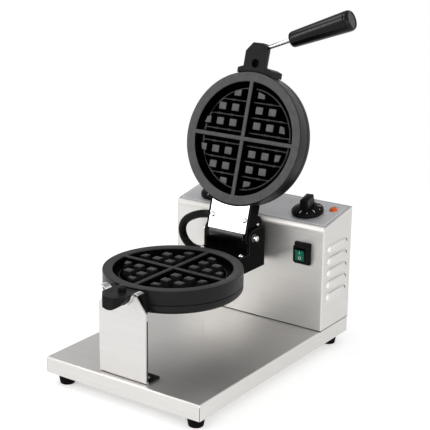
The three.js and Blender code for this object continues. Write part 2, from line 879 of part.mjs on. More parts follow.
// Cradle liner: a strip bent round the journal and flared out over the notch's shoulders
function cradleLiner() {
  const tangent = Math.asin((linerEarRadius - linerEarRise) / (linerInnerRadius + linerEarRadius));
  const span = linerInnerRadius + linerEarRadius;
  const [earX, earZ] = [span * Math.cos(tangent), -span * Math.sin(tangent)];
  const earEnd = Math.PI / 2 - linerEarTurn;
  const half = [
    ...arc(0, 0, linerInnerRadius, -Math.PI / 2, -tangent, linerSteps),
    ...arc(earX, earZ, linerEarRadius, Math.PI - tangent, earEnd, quarterSteps).slice(1),
    ...arc(earX, earZ, linerEarRadius - linerThickness, earEnd, Math.PI - tangent, quarterSteps),
    ...arc(0, 0, linerInnerRadius + linerThickness, -tangent, -Math.PI / 2, linerSteps).slice(1),
  ];
  const whole = [...half, ...half.map(([x, z]) => [-x, z]).reverse().slice(1, -1)];
  const strip = alongY(whole, -supportFront - linerOverhang, linerSetBack - supportFront);
  return strip.translate(0, 0, rotorHeight);
}

// Rotor bearing: a flanged hub on the housing's front with a sleeve through it
function rotorBearing() {
  const face = housingFront - seat;
  const rear = housingFront + bearingSleeveReach;
  const bore = rotorShaftRadius + bearingClearance;
  return solid(turnedAlongY([
    [bore, bearingFront], [bearingHubRadius, bearingFront], [bearingHubRadius, face - bearingFlange],
    [bearingFlangeRadius, face - bearingFlange], [bearingFlangeRadius, face], [bearingSleeveRadius, face],
    [bearingSleeveRadius, rear], [bore, rear], [bore, bearingFront],
  ], middleSides).translate(0, 0, rotorHeight));
}

// Hollow shaft behind the bracket, in the rotor's frame
function rotorShaft() {
  const rear = housingFront + rotorShaftReach;
  return solid(turnedAlongY([
    [rotorShaftBore, shaftFlangeFront], [rotorShaftFlangeRadius, shaftFlangeFront],
    [rotorShaftFlangeRadius, shaftFlangeFront + rotorShaftFlange],
    [rotorShaftRadius, shaftFlangeFront + rotorShaftFlange],
    [rotorShaftRadius, rear], [rotorShaftBore, rear], [rotorShaftBore, shaftFlangeFront],
  ], middleSides));
}

// Bracket: two cheeks, a rear wall on the shaft and a shelf over the lower plate's tongue
function rotorBracket() {
  const [bottom, top] = [bracketBottom - rotorHeight, bracketTop - rotorHeight];
  const shelfTop = bracketShelfTop - rotorHeight;
  const front = plateRadius - plateCentreFront - bracketOverlap;
  const [frontRound, rearRound] = [bracketFrontRound, bracketRearRound];
  const cheek = [
    [front, bottom], [bracketRear, bottom],
    ...arc(bracketRear - rearRound, top - rearRound, rearRound, 0, Math.PI / 2, cornerSteps),
    ...arc(bracketFront + frontRound, top - frontRound, frontRound, Math.PI / 2, Math.PI, quarterSteps),
    [bracketFront, shelfTop], [front, shelfTop],
  ];
  const [inner, outer] = [bracketInnerHalfWidth, bracketHalfWidth];
  const weld = bracketSheet / 2;
  const wallFront = bracketRear - bracketSheet;
  const body = join(
    alongX(cheek, -outer, -inner),
    alongX(cheek, inner, outer),
    block(-inner - weld, inner + weld, wallFront, bracketRear, bottom, top - rearRound),
    block(-inner - weld, inner + weld, front, bracketShelfRear, shelfTop - bracketSheet, shelfTop),
  );
  const plateRoom = rodZ(plateRadius + armPlateGap, bottom - overrun, top, 0, -plateCentreFront, bigSides);
  const [left, right] = [-outer - overrun, outer + overrun];
  const boltRoom = hingeBoltRadius + hingeBoltClearance;
  const boltHole = rodX(boltRoom, left, right, hingeY, hingeRise, smallSides);
  const wireHole = rodY(rotorShaftBore, wallFront - overrun, bracketRear + overrun, 0, 0, smallSides);
  const glandHole = rodX(hoseRadius + seat, left, 0, lowerGlandY, -lowerGlandDrop, smallSides);
  return cut(body, plateRoom, boltHole, wireHole, glandHole);
}

// Waffle plate with its face up: rim, drafted cavity, cross of dividers, pegs, valley ribs and tongue
function gridPlate() {
  const rim = -plateGap;
  const floor = -cavityDepth;
  const skin = floor - cavityFloor;
  const skirt = plateRadius - plateSkirtWall;
  const casting = solid(turned([
    [0, floor], [cavityRadius - cavityDraft, floor], [cavityRadius, rim],
    [plateRadius - plateRimChamfer, rim], [plateRadius, rim - plateRimChamfer],
    [plateRadius, -plateCastingDepth], [skirt, -plateCastingDepth], [skirt, skin], [0, skin],
  ], bigSides));
  const tongue = block(
    -tongueHalfWidth, tongueHalfWidth, skirt, hingeReach - tongueSetBack, -plateCastingDepth, -tongueDrop,
  );
  const tops = [dividers(floor, rim), pegField(floor, rim), valleyRibs(floor)];
  return join(casting, ...tops, cut(tongue, tongueRoom()));
}

function tongueRoom() {
  return rodZ(plateRadius - plateSkirtWall / 2, -plateDepth, 0, 0, 0, bigSides);
}

// A bar with drafted sides that ends inside the cavity's wall
function dividers(floor, rim) {
  const reach = cavityRadius + cavityDraft;
  const bars = [0, Math.PI / 2].map((turn) => {
    const top = rectangle(reach, dividerWidth / 2);
    const foot = rectangle(reach, dividerWidth / 2 + dividerDraft);
    return loft([turnedRing(foot, turn, floor - cavityFloor / 2), turnedRing(top, turn, rim)]);
  });
  const clip = rodZ(cavityRadius + cavityDraft, floor - cavityFloor / 2, rim, 0, 0, bigSides);
  return common(join(...bars), clip);
}

function turnedRing(points, angle, height) {
  const [c, s] = [Math.cos(angle), Math.sin(angle)];
  return points.map(([x, y]) => [x * c - y * s, x * s + y * c, height]);
}

// Three, two and one pegs in the rows of each quarter, the outermost cut off by the field's edge
function pegField(floor, rim) {
  const bottom = floor - cavityFloor / 2;
  const top = rim - pegTopDrop;
  const pegs = [];
  for (const [sideX, sideY] of [[-1, -1], [-1, 1], [1, -1], [1, 1]]) {
    for (let row = 0; row < pegRows; row += 1) {
      for (let column = 0; column < pegRows - row; column += 1) {
        const x = sideX * (pegStart + pegPitch * column);
        const y = sideY * (pegStart + pegPitch * row);
        const shift = ([px, py]) => [px + x, py + y];
        pegs.push(loft([
          atHeight(rectangle(pegWidth / 2 + pegDraft, pegLength / 2 + pegDraft).map(shift), bottom),
          atHeight(rectangle(pegWidth / 2, pegLength / 2).map(shift), top),
        ]));
      }
    }
  }
  const field = solid(turned([
    [0, bottom], [pegFieldRadius + pegDraft, bottom], [pegFieldRadius, top], [0, top],
  ], bigSides));
  return common(join(...pegs), field);
}

// Thin ribs along the valleys and a ring near the wall
function valleyRibs(floor) {
  const [bottom, top] = [floor - cavityFloor / 2, floor + ribHeight];
  const half = ribWidth / 2;
  const bars = [];
  for (const side of [-1, 1]) {
    for (let row = 0; row < pegRows; row += 1) {
      const place = side * (pegStart + pegPitch * (row - 1 / 2));
      bars.push(block(-ribFieldRadius, ribFieldRadius, place - half, place + half, bottom, top));
      if (row > 0) {
        bars.push(block(place - half, place + half, -ribFieldRadius, ribFieldRadius, bottom, top));
      }
    }
  }
  const clip = rodZ(ribFieldRadius, bottom, top, 0, 0, bigSides);
  const ring = solid(turned(ringProfile(ribFieldRadius - ribWidth, ribFieldRadius, bottom, top), bigSides));
  return join(common(join(...bars), clip), ring);
}

// Back cover of a plate: a shallow pan with a rounded edge
function backCover() {
  const [top, bottom] = [-plateCastingDepth - coverGroove, -plateDepth];
  const [round, wall] = [coverCornerRadius, coverWall];
  const shell = [
    [0, bottom],
    ...arc(plateRadius - round, bottom + round, round, -Math.PI / 2, 0, cornerSteps),
    [plateRadius, top], [plateRadius - wall, top],
    ...arc(plateRadius - round, bottom + round, round - wall, 0, -Math.PI / 2, cornerSteps),
    [0, bottom + wall],
  ];
  return solid(turned(shell, bigSides));
}

// Heating element: one tube bent into a ring with its two ends side by side at the hinge
function heatingElement() {
  const level = -cavityDepth - cavityFloor - seat - elementRadius;
  const sweep = [];
  const steps = middleSides;
  const start = Math.PI / 2 + elementMouth / 2;
  const run = Math.PI * 2 - elementMouth;
  const end = elementRingRadius * Math.sin(elementMouth / 2);
  sweep.push(new THREE.Vector3(-end, elementEnd, level));
  for (let i = 0; i <= steps; i += 1) {
    const angle = start + run * i / steps;
    const [x, y] = [Math.cos(angle), Math.sin(angle)].map((part) => part * elementRingRadius);
    sweep.push(new THREE.Vector3(x, y, level));
  }
  sweep.push(new THREE.Vector3(end, elementEnd, level));
  const path = new THREE.CatmullRomCurve3(sweep, false, 'centripetal');
  return tube(path, elementRadius, elementSides, steps + cornerSteps);
}

function tube(path, radius, sides, steps) {
  const section = outline(arc(0, 0, radius, 0, Math.PI * 2, sides).slice(0, -1));
  return solid(new THREE.ExtrudeGeometry(section, { steps, extrudePath: path, bevelEnabled: false }));
}

// Lug with its flat up: half a journal with a chamfered nose, and wings seated on the plate's side
function journalLug() {
  const flat = -journalFlat;
  const half = Math.sqrt(journalRadius ** 2 - journalFlat ** 2);
  const lip = Math.acos(half / journalRadius);
  const round = arc(0, 0, journalRadius, -lip, lip - Math.PI, smallSides);
  const journal = alongY(round, -journalReach, -plateRadius);
  const wingEnd = plateRadius + wingEndStandOff;
  const chamferStart = journalReach - (journalReach - wingReach) * journalChamferShare;
  const [nose, root] = [journalChamferHalfWidth, plateRadius / 2];
  const plan = [
    [-wingHalfWidth, -root], [-wingHalfWidth, -wingEnd], [-journalRadius, -wingReach],
    [-journalRadius, -chamferStart], [-nose, -journalReach], [nose, -journalReach],
    [journalRadius, -chamferStart], [journalRadius, -wingReach], [wingHalfWidth, -wingEnd],
    [wingHalfWidth, -root],
  ];
  const wings = block(-wingHalfWidth, wingHalfWidth, -wingReach, -root, -wingDepth, flat);
  const plateRoom = rodZ(plateRadius + seat, -plateDepth - overrun, overrun, 0, 0, bigSides);
  const relief = rodZ(plateRadius + wingRelief, -wingReliefDepth, overrun, 0, 0, bigSides);
  return cut(common(join(journal, wings), alongZ(plan, -plateDepth, flat)), plateRoom, relief);
}

function lowerLug() {
  const hole = rodZ(
    studSpigotRadius + seat, -journalFlat - studSpigotLength - seat, 0, 0, -studReach, smallSides,
  );
  return cut(journalLug(), hole);
}

// Locating stud on the lower lug, with a spigot pressed into it
function lugStud() {
  const base = -journalFlat + seat;
  const top = -journalFlat + studRise;
  return solid(turned([
    [0, base - studSpigotLength], [studSpigotRadius, base - studSpigotLength], [studSpigotRadius, base],
    [studRadius, base], [studRadius, top - studCrown], [studRadius - studCrown, top], [0, top],
  ], smallSides).translate(0, -studReach, 0));
}

// The upper lug lies face down, so its own X runs the other way from the lid's
function upperLug() {
  const socket = rodZ(studHoleRadius, -journalFlat - studHoleDepth, 0, 0, -studReach, smallSides);
  const depth = handleRodInLug + seat;
  const drill = turned(rodProfile(handleRodRadius + seat, -depth, handleRodShown), smallSides);
  const bore = solid(alignHandle(drill).rotateY(Math.PI));
  return cut(journalLug(), socket, bore);
}

// A shape that runs along +Z, laid along the handle in the lid's frame
function alignHandle(geometry) {
  const direction = new THREE.Vector3(Math.cos(handleAngle), -Math.sin(handleAngle), 0);
  const turn = new THREE.Quaternion().setFromUnitVectors(new THREE.Vector3(0, 0, 1), direction);
  geometry.applyQuaternion(turn);
  return geometry.translate(handleStartX, handleSetBack - journalReach, handleDepth);
}

function handleRod() {
  const profile = rodProfile(handleRodRadius, -handleRodInLug, handleRodShown + handleRodInGrip);
  return solid(alignHandle(turned(profile, smallSides)));
}

// Handle grip: a flared, turned grip with a blind bore for the rod and a socket for its cap
function handleGrip() {
  const [start, end] = [handleRodShown, handleRodShown + gripLength - gripCapLength];
  const grow = (gripEndRadius - gripNeckRadius) / (end - start);
  const bore = handleRodRadius + seat;
  const depth = start + handleRodInGrip + seat;
  const socket = gripSpigotRadius + seat;
  const neck = arc(gripNeckRadius - gripRound, start + gripRound, gripRound, -Math.PI / 2, 0, cornerSteps);
  return solid(alignHandle(turned([
    [bore, start], ...neck, [gripNeckRadius + grow * (end - start), end],
    [socket, end], [socket, end - gripSpigotLength - seat], [0, end - gripSpigotLength - seat],
    [0, depth], [bore, depth], [bore, start],
  ], gripSides)));
}

function handleCap() {
  const start = handleRodShown + gripLength - gripCapLength + seat;
  const end = handleRodShown + gripLength;
  return solid(alignHandle(turned([
    [0, start - gripSpigotLength], [gripSpigotRadius, start - gripSpigotLength], [gripSpigotRadius, start],
    [gripEndRadius, start],
    ...arc(gripEndRadius - gripCapRound, end - gripCapRound, gripCapRound, 0, Math.PI / 2, cornerSteps),
    [0, end],
  ], gripSides)));
}

// Arm: a channel over the upper plate's tongue, with eyes at the hinge and stop ears behind it.
// In the lid's frame the hinge is the origin and the plate lies towards -Y.
function armChannel() {
  const [front, back] = [armFaceDrop - hingeRise, armBack - hingeRise];
  const start = plateRadius - plateSkirtWall * 2 - hingeReach;
  const eyeStart = Math.PI - Math.asin(back / armEyeRadius);
  const side = [
    [start, front], [-armEyeRadius, front],
    ...arc(0, 0, armEyeRadius, -Math.PI / 2, eyeStart, eyeSteps), [start, back],
  ];
  const earZ = armEarDepth - hingeRise;
  const ear = arc(-armEarReach, earZ, armEarRadius, 0, Math.PI * 2, smallSides).slice(0, -1);
  const walls = mirrored((hand) => {
    const [near, far] = inOrder(hand * armInnerHalfWidth, hand * armOuterHalfWidth);
    return join(alongX(side, near, far), alongX(ear, near, far));
  });
  const inner = armInnerHalfWidth + armWall / 2;
  const end = -barrelRadius - overrun;
  const web = block(-inner, inner, start, end, back - armWall, back);
  const lipTop = front + coverPlateThickness + seat;
  const lips = mirrored((hand) => {
    const [near, far] = inOrder(hand * (inner - armLip), hand * inner);
    return block(near, far, start, end, lipTop, lipTop + armWall);
  });
  const room = rodZ(plateRadius + armPlateGap, -plateDepth, plateDepth, 0, -hingeReach, bigSides);
  const boltHole = rodX(hingeBoltRadius + hingeBoltClearance, -inner * 2, inner * 2, 0, 0, smallSides);
  const hoseHole = rodX(hoseRadius + seat, -inner * 2, 0, ...upperGlandInArm(), smallSides);
  return cut(join(...walls, web, ...lips), room, boltHole, hoseHole);
}

function inOrder(a, b) {
  return a < b ? [a, b] : [b, a];
}

// Where the hose leaves the arm, in the lid's frame
function upperGlandInArm() {
  return [(plateRadius - hingeReach) * upperGlandShare, upperGlandDepth - hingeRise];
}

function hingeBarrel() {
  const left = -armInnerHalfWidth + seat;
  const bore = hingeBoltRadius + hingeBoltClearance;
  return solid(turnedAlongX(ringProfile(bore, barrelRadius, left, barrelRightEnd), middleSides));
}

function hingeSpacer() {
  const bore = hingeBoltRadius + hingeBoltClearance;
  const profile = ringProfile(bore, spacerRadius, barrelRightEnd + seat, armInnerHalfWidth - seat);
  return solid(turnedAlongX(profile, smallSides));
}

function hingeBolt() {
  const end = bracketHalfWidth + seat + hingeNutHeight + hingeBoltEnd;
  return rodX(hingeBoltRadius, -end, end, 0, 0, smallSides);
}

function hingeNut(side) {
  const near = side * (bracketHalfWidth + seat);
  const [from, to] = inOrder(near, near + side * hingeNutHeight);
  const hexagon = arc(0, 0, hingeNutRadius, 0, Math.PI * 2, hingeNutSides).slice(0, -1);
  const bore = rodX(hingeBoltRadius + seat, from - overrun, to + overrun, 0, 0, smallSides);
  return cut(alongX(hexagon, from, to), bore);
}

// Cover plate over the arm's front, cut round to the plate's rim
function armCoverPlate() {
  const front = armFaceDrop - hingeRise;
  const plate = block(
    -coverPlateHalfWidth, coverPlateHalfWidth, plateRadius / 2 - hingeReach, -coverPlateSetBack,
    front, front + coverPlateThickness,
  );
  return cut(plate, rodZ(coverPlateRadius, -plateDepth, plateDepth, 0, -hingeReach, bigSides));
}

// Gland: a spigot through a wall with a collar outside, bored for the wires
function hoseGland(wallOuter, wall, radius, length) {
  const collarStart = -wallOuter - seat;
  const collarEnd = collarStart - length;
  const spigotEnd = -wallOuter + wall;
  const bore = hoseRadius - hoseWall;
  return solid(turnedAlongX([
    [bore, collarEnd], [radius, collarEnd], [radius, collarStart], [hoseRadius, collarStart],
    [hoseRadius, spigotEnd], [bore, spigotEnd], [bore, collarEnd],
  ], smallSides));
}

// Hose between the two glands, its ends straight and square to them
function cableHose() {
  const upperEnd = -armOuterHalfWidth - upperGlandLength - seat * 2;
  const lowerEnd = -bracketHalfWidth - lowerGlandLength - seat * 2;
  const [c, s] = [Math.cos(lidOpenAngle), Math.sin(lidOpenAngle)];
  const [inY, inZ] = upperGlandInArm();
  const upper = [hingeY + inY * c + inZ * s, hingeRise - inY * s + inZ * c];
  const lower = [lowerGlandY, -lowerGlandDrop];
  const at = (x, share) => {
    const [y, z] = upper.map((from, i) => from + (lower[i] - from) * share);
    return new THREE.Vector3(x, y, z);
  };
  const path = new THREE.CatmullRomCurve3([
    at(upperEnd, 0), at(upperEnd - hoseStraight, 0),
    ...hoseDownwardShares.map((share, i) => at(upperEnd - hoseReach * hoseSidewaysShares[i], share)),
    at(lowerEnd - hoseStraight, 1), at(lowerEnd, 1),
  ], false, 'centripetal');
  return tube(path, hoseRadius, hoseSides, hoseSteps);
}

// Assembly
const machine = new THREE.Group();

place(machine, 'base_tray', baseTray(), brushedSteel);
for (const [name, [x, y]] of Object.entries(footPlaces())) {
  place(machine, name, foot(), blackRubber).position.set(x, y, 0);
}
place(machine, 'control_housing', controlHousing(), brushedSteel);
place(machine, 'rear_panel', rearPanel(), brushedSteel);
place(machine, 'mains_gland', mainsGland(), blackPlastic);
place(machine, 'front_support', frontSupport(), satinSteel);
place(machine, 'cradle_liner', cradleLiner(), brightSteel);
place(machine, 'rotor_bearing', rotorBearing(), brightSteel);

const consoleFrame = groupAt(machine, 0, housingFront, housingFrontTop);
consoleFrame.rotation.x = housingSlope;
place(consoleFrame, 'console_overlay', consoleOverlay(), greyFilm);
place(consoleFrame, 'pilot_lamp', pilotLamp(), orangeLens);
for (const [side, name] of [[-1, 'timer'], [1, 'thermostat']]) {
  const spindle = groupAt(consoleFrame, side * knobOffset, knobUpSlope, 0);
  place(spindle, `${name}_knob`, knob(), blackPlastic);
  place(spindle, `${name}_shaft`, knobShaft(), brightSteel);
  place(spindle, `${name}_body`, switchBody(), blackPlastic);
}

const rockerFrame = groupAt(machine, rockerCentreX, housingFront, rockerCentreZ);
place(rockerFrame, 'rocker_bezel', rockerBezel(), blackPlastic);
const rockerPivot = groupAt(rockerFrame, 0, -rockerPivotDepth, 0);
rockerPivot.rotation.x = rockerRestTilt;
place(rockerPivot, 'rocker_key', rockerKey(), greenLens);

const rotor = groupAt(machine, 0, 0, rotorHeight);
place(rotor, 'rotor_shaft', rotorShaft(), brightSteel);
place(rotor, 'rotor_bracket', rotorBracket(), blackPaint);
place(rotor, 'cable_hose', cableHose(), blackRubber);
const lowerGland = groupAt(rotor, 0, lowerGlandY, -lowerGlandDrop);
const lowerGlandBody = hoseGland(bracketHalfWidth, bracketSheet, lowerGlandRadius, lowerGlandLength);
place(lowerGland, 'lower_hose_gland', lowerGlandBody, blackPlastic);

const lowerFrame = groupAt(rotor, 0, -plateCentreFront, 0);
place(lowerFrame, 'lower_grid_plate', gridPlate(), castIron);
place(lowerFrame, 'lower_back_cover', backCover(), castIron);
place(lowerFrame, 'lower_element', heatingElement(), elementSteel);
place(lowerFrame, 'lower_lug', lowerLug(), castIron);
place(lowerFrame, 'lug_stud', lugStud(), castIron);

const hinge = groupAt(rotor, 0, hingeY, hingeRise);
place(hinge, 'hinge_bolt', hingeBolt(), brightSteel);
place(hinge, 'hinge_nut_left', hingeNut(-1), brightSteel);
place(hinge, 'hinge_nut_right', hingeNut(1), brightSteel);

// The lid's frame is drawn shut, with the plate towards -Y, and turned up about the hinge
const lid = groupAt(hinge, 0, 0, 0);
lid.rotation.x = -lidOpenAngle;
place(lid, 'hinge_barrel', hingeBarrel(), blackPaint);
place(lid, 'hinge_spacer', hingeSpacer(), blackPaint);
place(lid, 'arm_channel', armChannel(), blackPaint);
place(lid, 'arm_cover_plate', armCoverPlate(), whiteSteel);
const upperGland = groupAt(lid, 0, ...upperGlandInArm());
const upperGlandBody = hoseGland(armOuterHalfWidth, armWall, upperGlandRadius, upperGlandLength);
place(upperGland, 'upper_hose_gland', upperGlandBody, blackPlastic);

// The upper plate is the lower one turned over about the rotor's axis
const upperFrame = groupAt(lid, 0, -hingeReach, -hingeRise);
const faceDown = groupAt(upperFrame, 0, 0, 0);
faceDown.rotation.y = Math.PI;
place(faceDown, 'upper_grid_plate', gridPlate(), castIron);
place(faceDown, 'upper_back_cover', backCover(), castIron);
place(faceDown, 'upper_element', heatingElement(), elementSteel);
place(faceDown, 'upper_lug', upperLug(), castIron);
place(upperFrame, 'handle_rod', handleRod(), brightSteel);
place(upperFrame, 'handle_grip', handleGrip(), blackPlastic);
place(upperFrame, 'handle_cap', handleCap(), blackPlastic);

export default machine;
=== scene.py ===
"""Looks of a round commercial waffle maker, laid out as an add-on.

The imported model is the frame. Each operator makes one piece or one group of like pieces, in millimetres,
in the frame of the part that carries it, and places it in metres.
"""

import math
from itertools import product

import bmesh
import bpy
from mathutils import Matrix, Vector


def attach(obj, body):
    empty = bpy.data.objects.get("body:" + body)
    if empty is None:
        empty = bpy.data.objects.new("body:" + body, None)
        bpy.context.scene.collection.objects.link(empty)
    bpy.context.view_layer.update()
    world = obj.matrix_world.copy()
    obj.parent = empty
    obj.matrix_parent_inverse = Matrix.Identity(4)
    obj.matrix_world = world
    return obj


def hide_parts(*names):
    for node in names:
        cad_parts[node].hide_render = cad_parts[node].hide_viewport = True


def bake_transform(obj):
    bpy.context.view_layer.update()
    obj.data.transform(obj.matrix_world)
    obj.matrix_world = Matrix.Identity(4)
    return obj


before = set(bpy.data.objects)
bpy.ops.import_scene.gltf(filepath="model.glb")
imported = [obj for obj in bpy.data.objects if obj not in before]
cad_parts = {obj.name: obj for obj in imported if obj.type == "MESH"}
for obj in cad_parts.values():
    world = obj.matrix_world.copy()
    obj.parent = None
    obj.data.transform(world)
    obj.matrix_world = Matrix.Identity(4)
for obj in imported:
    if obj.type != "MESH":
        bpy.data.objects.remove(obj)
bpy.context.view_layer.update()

bl_info = {
    "name": "Waffle maker looks",
    "version": (1, 0, 0),
    "blender": (4, 5, 0),
    "location": "3D View > Sidebar > Waffle maker",
    "description": "Dresses the packed waffle maker with fine pieces, finishes, a stage and a camera",
    "category": "Object",
}

MM = 0.001


# ---------------------------------------------------------------- sizes and colours

def length(name, description, millimetres):
    """A length property, given in millimetres and kept in metres."""
    return bpy.props.FloatProperty(
        name=name, description=description, default=millimetres * MM, min=0.0, unit="LENGTH", precision=5,
    )


def colour(name, description, value):
    """A colour property in linear light."""
    return bpy.props.FloatVectorProperty(
        name=name, description=description, default=value, min=0.0, max=1.0, size=3, subtype="COLOR",
    )


class WaffleMakerSizes(bpy.types.PropertyGroup):
    """Sizes of the fine pieces."""

    plate_radius: length("Plate radius", "Radius of each grid plate and its back cover", 105)
    cavity_radius: length("Cavity radius", "Radius of the baking cavity at its rim", 90)
    cavity_depth: length("Cavity depth", "Depth of the baking cavity's floor below the parting plane", 12.5)
    divider_width: length("Divider width", "Width of the cross that divides the waffle", 6.5)
    peg_width: length("Peg width", "Width of a peg's top along the hinge", 13.4)
    peg_length: length("Peg length", "Length of a peg's top across the hinge", 11.7)
    peg_pitch: length("Peg pitch", "Distance between neighbouring pegs", 24.2)
    rib_width: length("Rib width", "Width of the fine ribs in the valleys", 1.5)
    knob_radius: length("Knob radius", "Radius of a knob's skirt", 25.7)
    knob_height: length("Knob height", "Height of a knob's grip", 26)
    lamp_radius: length("Lamp radius", "Radius of the pilot lamp's lens", 6.8)
    grip_radius: length("Grip radius", "Radius of the handle grip at its thick end", 16.2)
    hose_radius: length("Hose radius", "Radius of the cable hose", 6.5)
    screw_radius: length("Screw radius", "Radius of the pan heads on the sheet parts", 4.2)


class WaffleMakerColours(bpy.types.PropertyGroup):
    """Colours of the finishes."""

    sheet: colour("Sheet steel", "Brushed sheet of the base and the housing", (0.70, 0.685, 0.665))
    support: colour("Support steel", "Satin sheet of the front support", (0.70, 0.685, 0.67))
    bright: colour("Bright steel", "Turned and plated steel", (0.78, 0.78, 0.775))
    plate: colour("Plate coating", "Coating of the grid plates", (0.062, 0.0622, 0.063))
    casting: colour("Casting coating", "Coating of the back covers and the lugs", (0.005, 0.0051, 0.0054))
    film: colour("Console film", "Film on the console", (0.60, 0.605, 0.62))
    paint: colour("Black paint", "Paint of the bracket and the arm", (0.0022, 0.0022, 0.00223))
    moulding: colour("Black moulding", "Moulded knobs, bezel and grip", (0.005, 0.005, 0.0053))
    rubber: colour("Rubber", "Feet and hose", (0.0045, 0.0045, 0.0048))
    green: colour("Switch green", "Lens of the rocker switch", (0.001, 0.098, 0.058))
    orange: colour("Lamp orange", "Lens of the pilot lamp", (0.70, 0.105, 0.006))
    marks: colour("Printed marks", "Ticks and signs on the dark mouldings", (0.72, 0.72, 0.70))


def sizes():
    """The sizes in use, in millimetres, by name."""
    group = bpy.context.scene.waffle_maker_sizes
    return {name: getattr(group, name) / MM for name in WaffleMakerSizes.__annotations__}


def tint(name):
    """A colour in use, with full alpha."""
    return (*getattr(bpy.context.scene.waffle_maker_colours, name), 1.0)


# ---------------------------------------------------------------- places

def shift(x, y, z):
    """A move in millimetres."""
    return Matrix.Translation((x, y, z))


def turned(degrees, axis):
    """A turn about one axis."""
    return Matrix.Rotation(math.radians(degrees), 4, axis)


def looking(direction):
    """A turn that takes +Z to a direction."""
    return Vector((0, 0, 1)).rotation_difference(Vector(direction)).to_matrix().to_4x4()


MIRRORED = (-1, 1)

# Places on the machine in millimetres: X to its right, Y to its rear, Z up, and the origin on the floor.
TRAY_CORNER, TRAY_TOP = (141.05, 206.35), 44.25
FOOT_PLACE = (120, 185.3)
HOUSING_SIDE, HOUSING_FRONT, HOUSING_MIDDLE, HOUSING_BACK = 141.7, 119.8, 163.5, 207.3
BROW_HEIGHT, CONSOLE_SLOPE = 215.6, 10.6
OVERLAY_TOP = 1.1
KNOB_X, KNOB_Y = 88.7, 39.5
LAMP_X, LAMP_Y = 122.3, 62.8
ROCKER_X, ROCKER_HEIGHT, ROCKER_TILT = 106.75, 169.5, 6
PLATE_CENTRE, ROTOR_HEIGHT = -79.6, 180.0
HINGE_Y, HINGE_Z = 70.8, 194.4
HINGE_REACH, HINGE_RISE = 150.4, 14.4
LID_OPEN = 105.96
HANDLE_SLOPE = math.radians(21.8)

# The frames that pieces are made in.
LOWER = shift(0, PLATE_CENTRE, ROTOR_HEIGHT)
LID = shift(0, HINGE_Y, HINGE_Z) @ turned(-LID_OPEN, "X")
UPPER_FRAME = LID @ shift(0, -HINGE_REACH, -HINGE_RISE)
UPPER = UPPER_FRAME @ turned(180, "Y")
CONSOLE = shift(0, HOUSING_FRONT, BROW_HEIGHT) @ turned(CONSOLE_SLOPE, "X")
ROCKER_FACE = shift(ROCKER_X, HOUSING_FRONT, ROCKER_HEIGHT)
ROCKER = ROCKER_FACE @ shift(0, -2, 0) @ turned(ROCKER_TILT, "X")
HANDLE = UPPER_FRAME @ shift(12, -145, 10) @ looking((math.cos(HANDLE_SLOPE), -math.sin(HANDLE_SLOPE), 0))


# ---------------------------------------------------------------- outlines and meshes

TOUCHING = 1e-6


def arc(a, b, radius, start, end, steps):
    """Points of an arc between two angles in degrees."""
    angles = [math.radians(start + (end - start) * i / steps) for i in range(steps + 1)]
    return [(a + radius * math.cos(t), b + radius * math.sin(t)) for t in angles]


def eased(corners, steps):
    """An open outline whose corners (a, b, ease) are rounded, each over its own distance."""
    points = []
    for i, (a, b, ease) in enumerate(corners):
        here = Vector((a, b))
        if ease <= 0:
            points.append((a, b))
            continue
        before = Vector(corners[i - 1][:2]) - here
        after = Vector(corners[i + 1][:2]) - here
        first = here + before.normalized() * min(ease, before.length * 0.49)
        last = here + after.normalized() * min(ease, after.length * 0.49)
        for k in range(steps + 1):
            t = k / steps
            point = first * (1 - t) ** 2 + here * 2 * t * (1 - t) + last * t ** 2
            points.append((point.x, point.y))
    return points


def rectangle(half_x, half_y, radius, steps, middle=(0, 0)):
    """A rectangle with round corners, anticlockwise."""
    x, y = half_x - radius, half_y - radius
    u, v = middle
    return (
        arc(u + x, v - y, radius, -90, 0, steps) + arc(u + x, v + y, radius, 0, 90, steps)
        + arc(u - x, v + y, radius, 90, 180, steps) + arc(u - x, v - y, radius, 180, 270, steps)
    )


def lathe(profile, sides):
    """A profile of (radius, height) turned about Z."""
    points, rows, faces = [], [], []
    for radius, height in profile:
        if radius < TOUCHING:
            rows.append([len(points)])
            points.append((0, 0, height))
            continue
        rows.append(list(range(len(points), len(points) + sides)))
        for i in range(sides):
            angle = math.tau * i / sides
            points.append((radius * math.cos(angle), radius * math.sin(angle), height))
    for low, high in zip(rows, rows[1:]):
        for i in range(sides):
            j = (i + 1) % sides
            if len(low) == 1 and len(high) > 1:
                faces.append((low[0], high[j], high[i]))
            elif len(high) == 1 and len(low) > 1:
                faces.append((low[i], low[j], high[0]))
            elif len(low) > 1:
                faces.append((low[i], low[j], high[j], high[i]))
    return points, faces


def turning(corners, steps, sides):
    """An outline of (radius, height, ease), eased and turned about Z."""
    return lathe(eased(corners, steps), sides)


def loft(rings, caps=True):
    """Closed rings of equal count, joined one to the next."""
    count = len(rings[0])
    points = [point for ring in rings for point in ring]
    faces = []
    for k in range(len(rings) - 1):
        for i in range(count):
            j = (i + 1) % count
            faces.append((k * count + i, k * count + j, (k + 1) * count + j, (k + 1) * count + i))
    if caps:
        faces.append(tuple(reversed(range(count))))
        faces.append(tuple(range(len(points) - count, len(points))))
    return points, faces


def stacked(levels, steps, middle=(0, 0), caps=True):
    """Rectangles (half_x, half_y, corner, height) with round corners, joined one to the next."""
    return loft([
        [(a, b, height) for a, b in rectangle(half_x, half_y, corner, steps, middle)]
        for half_x, half_y, corner, height in levels
    ], caps)


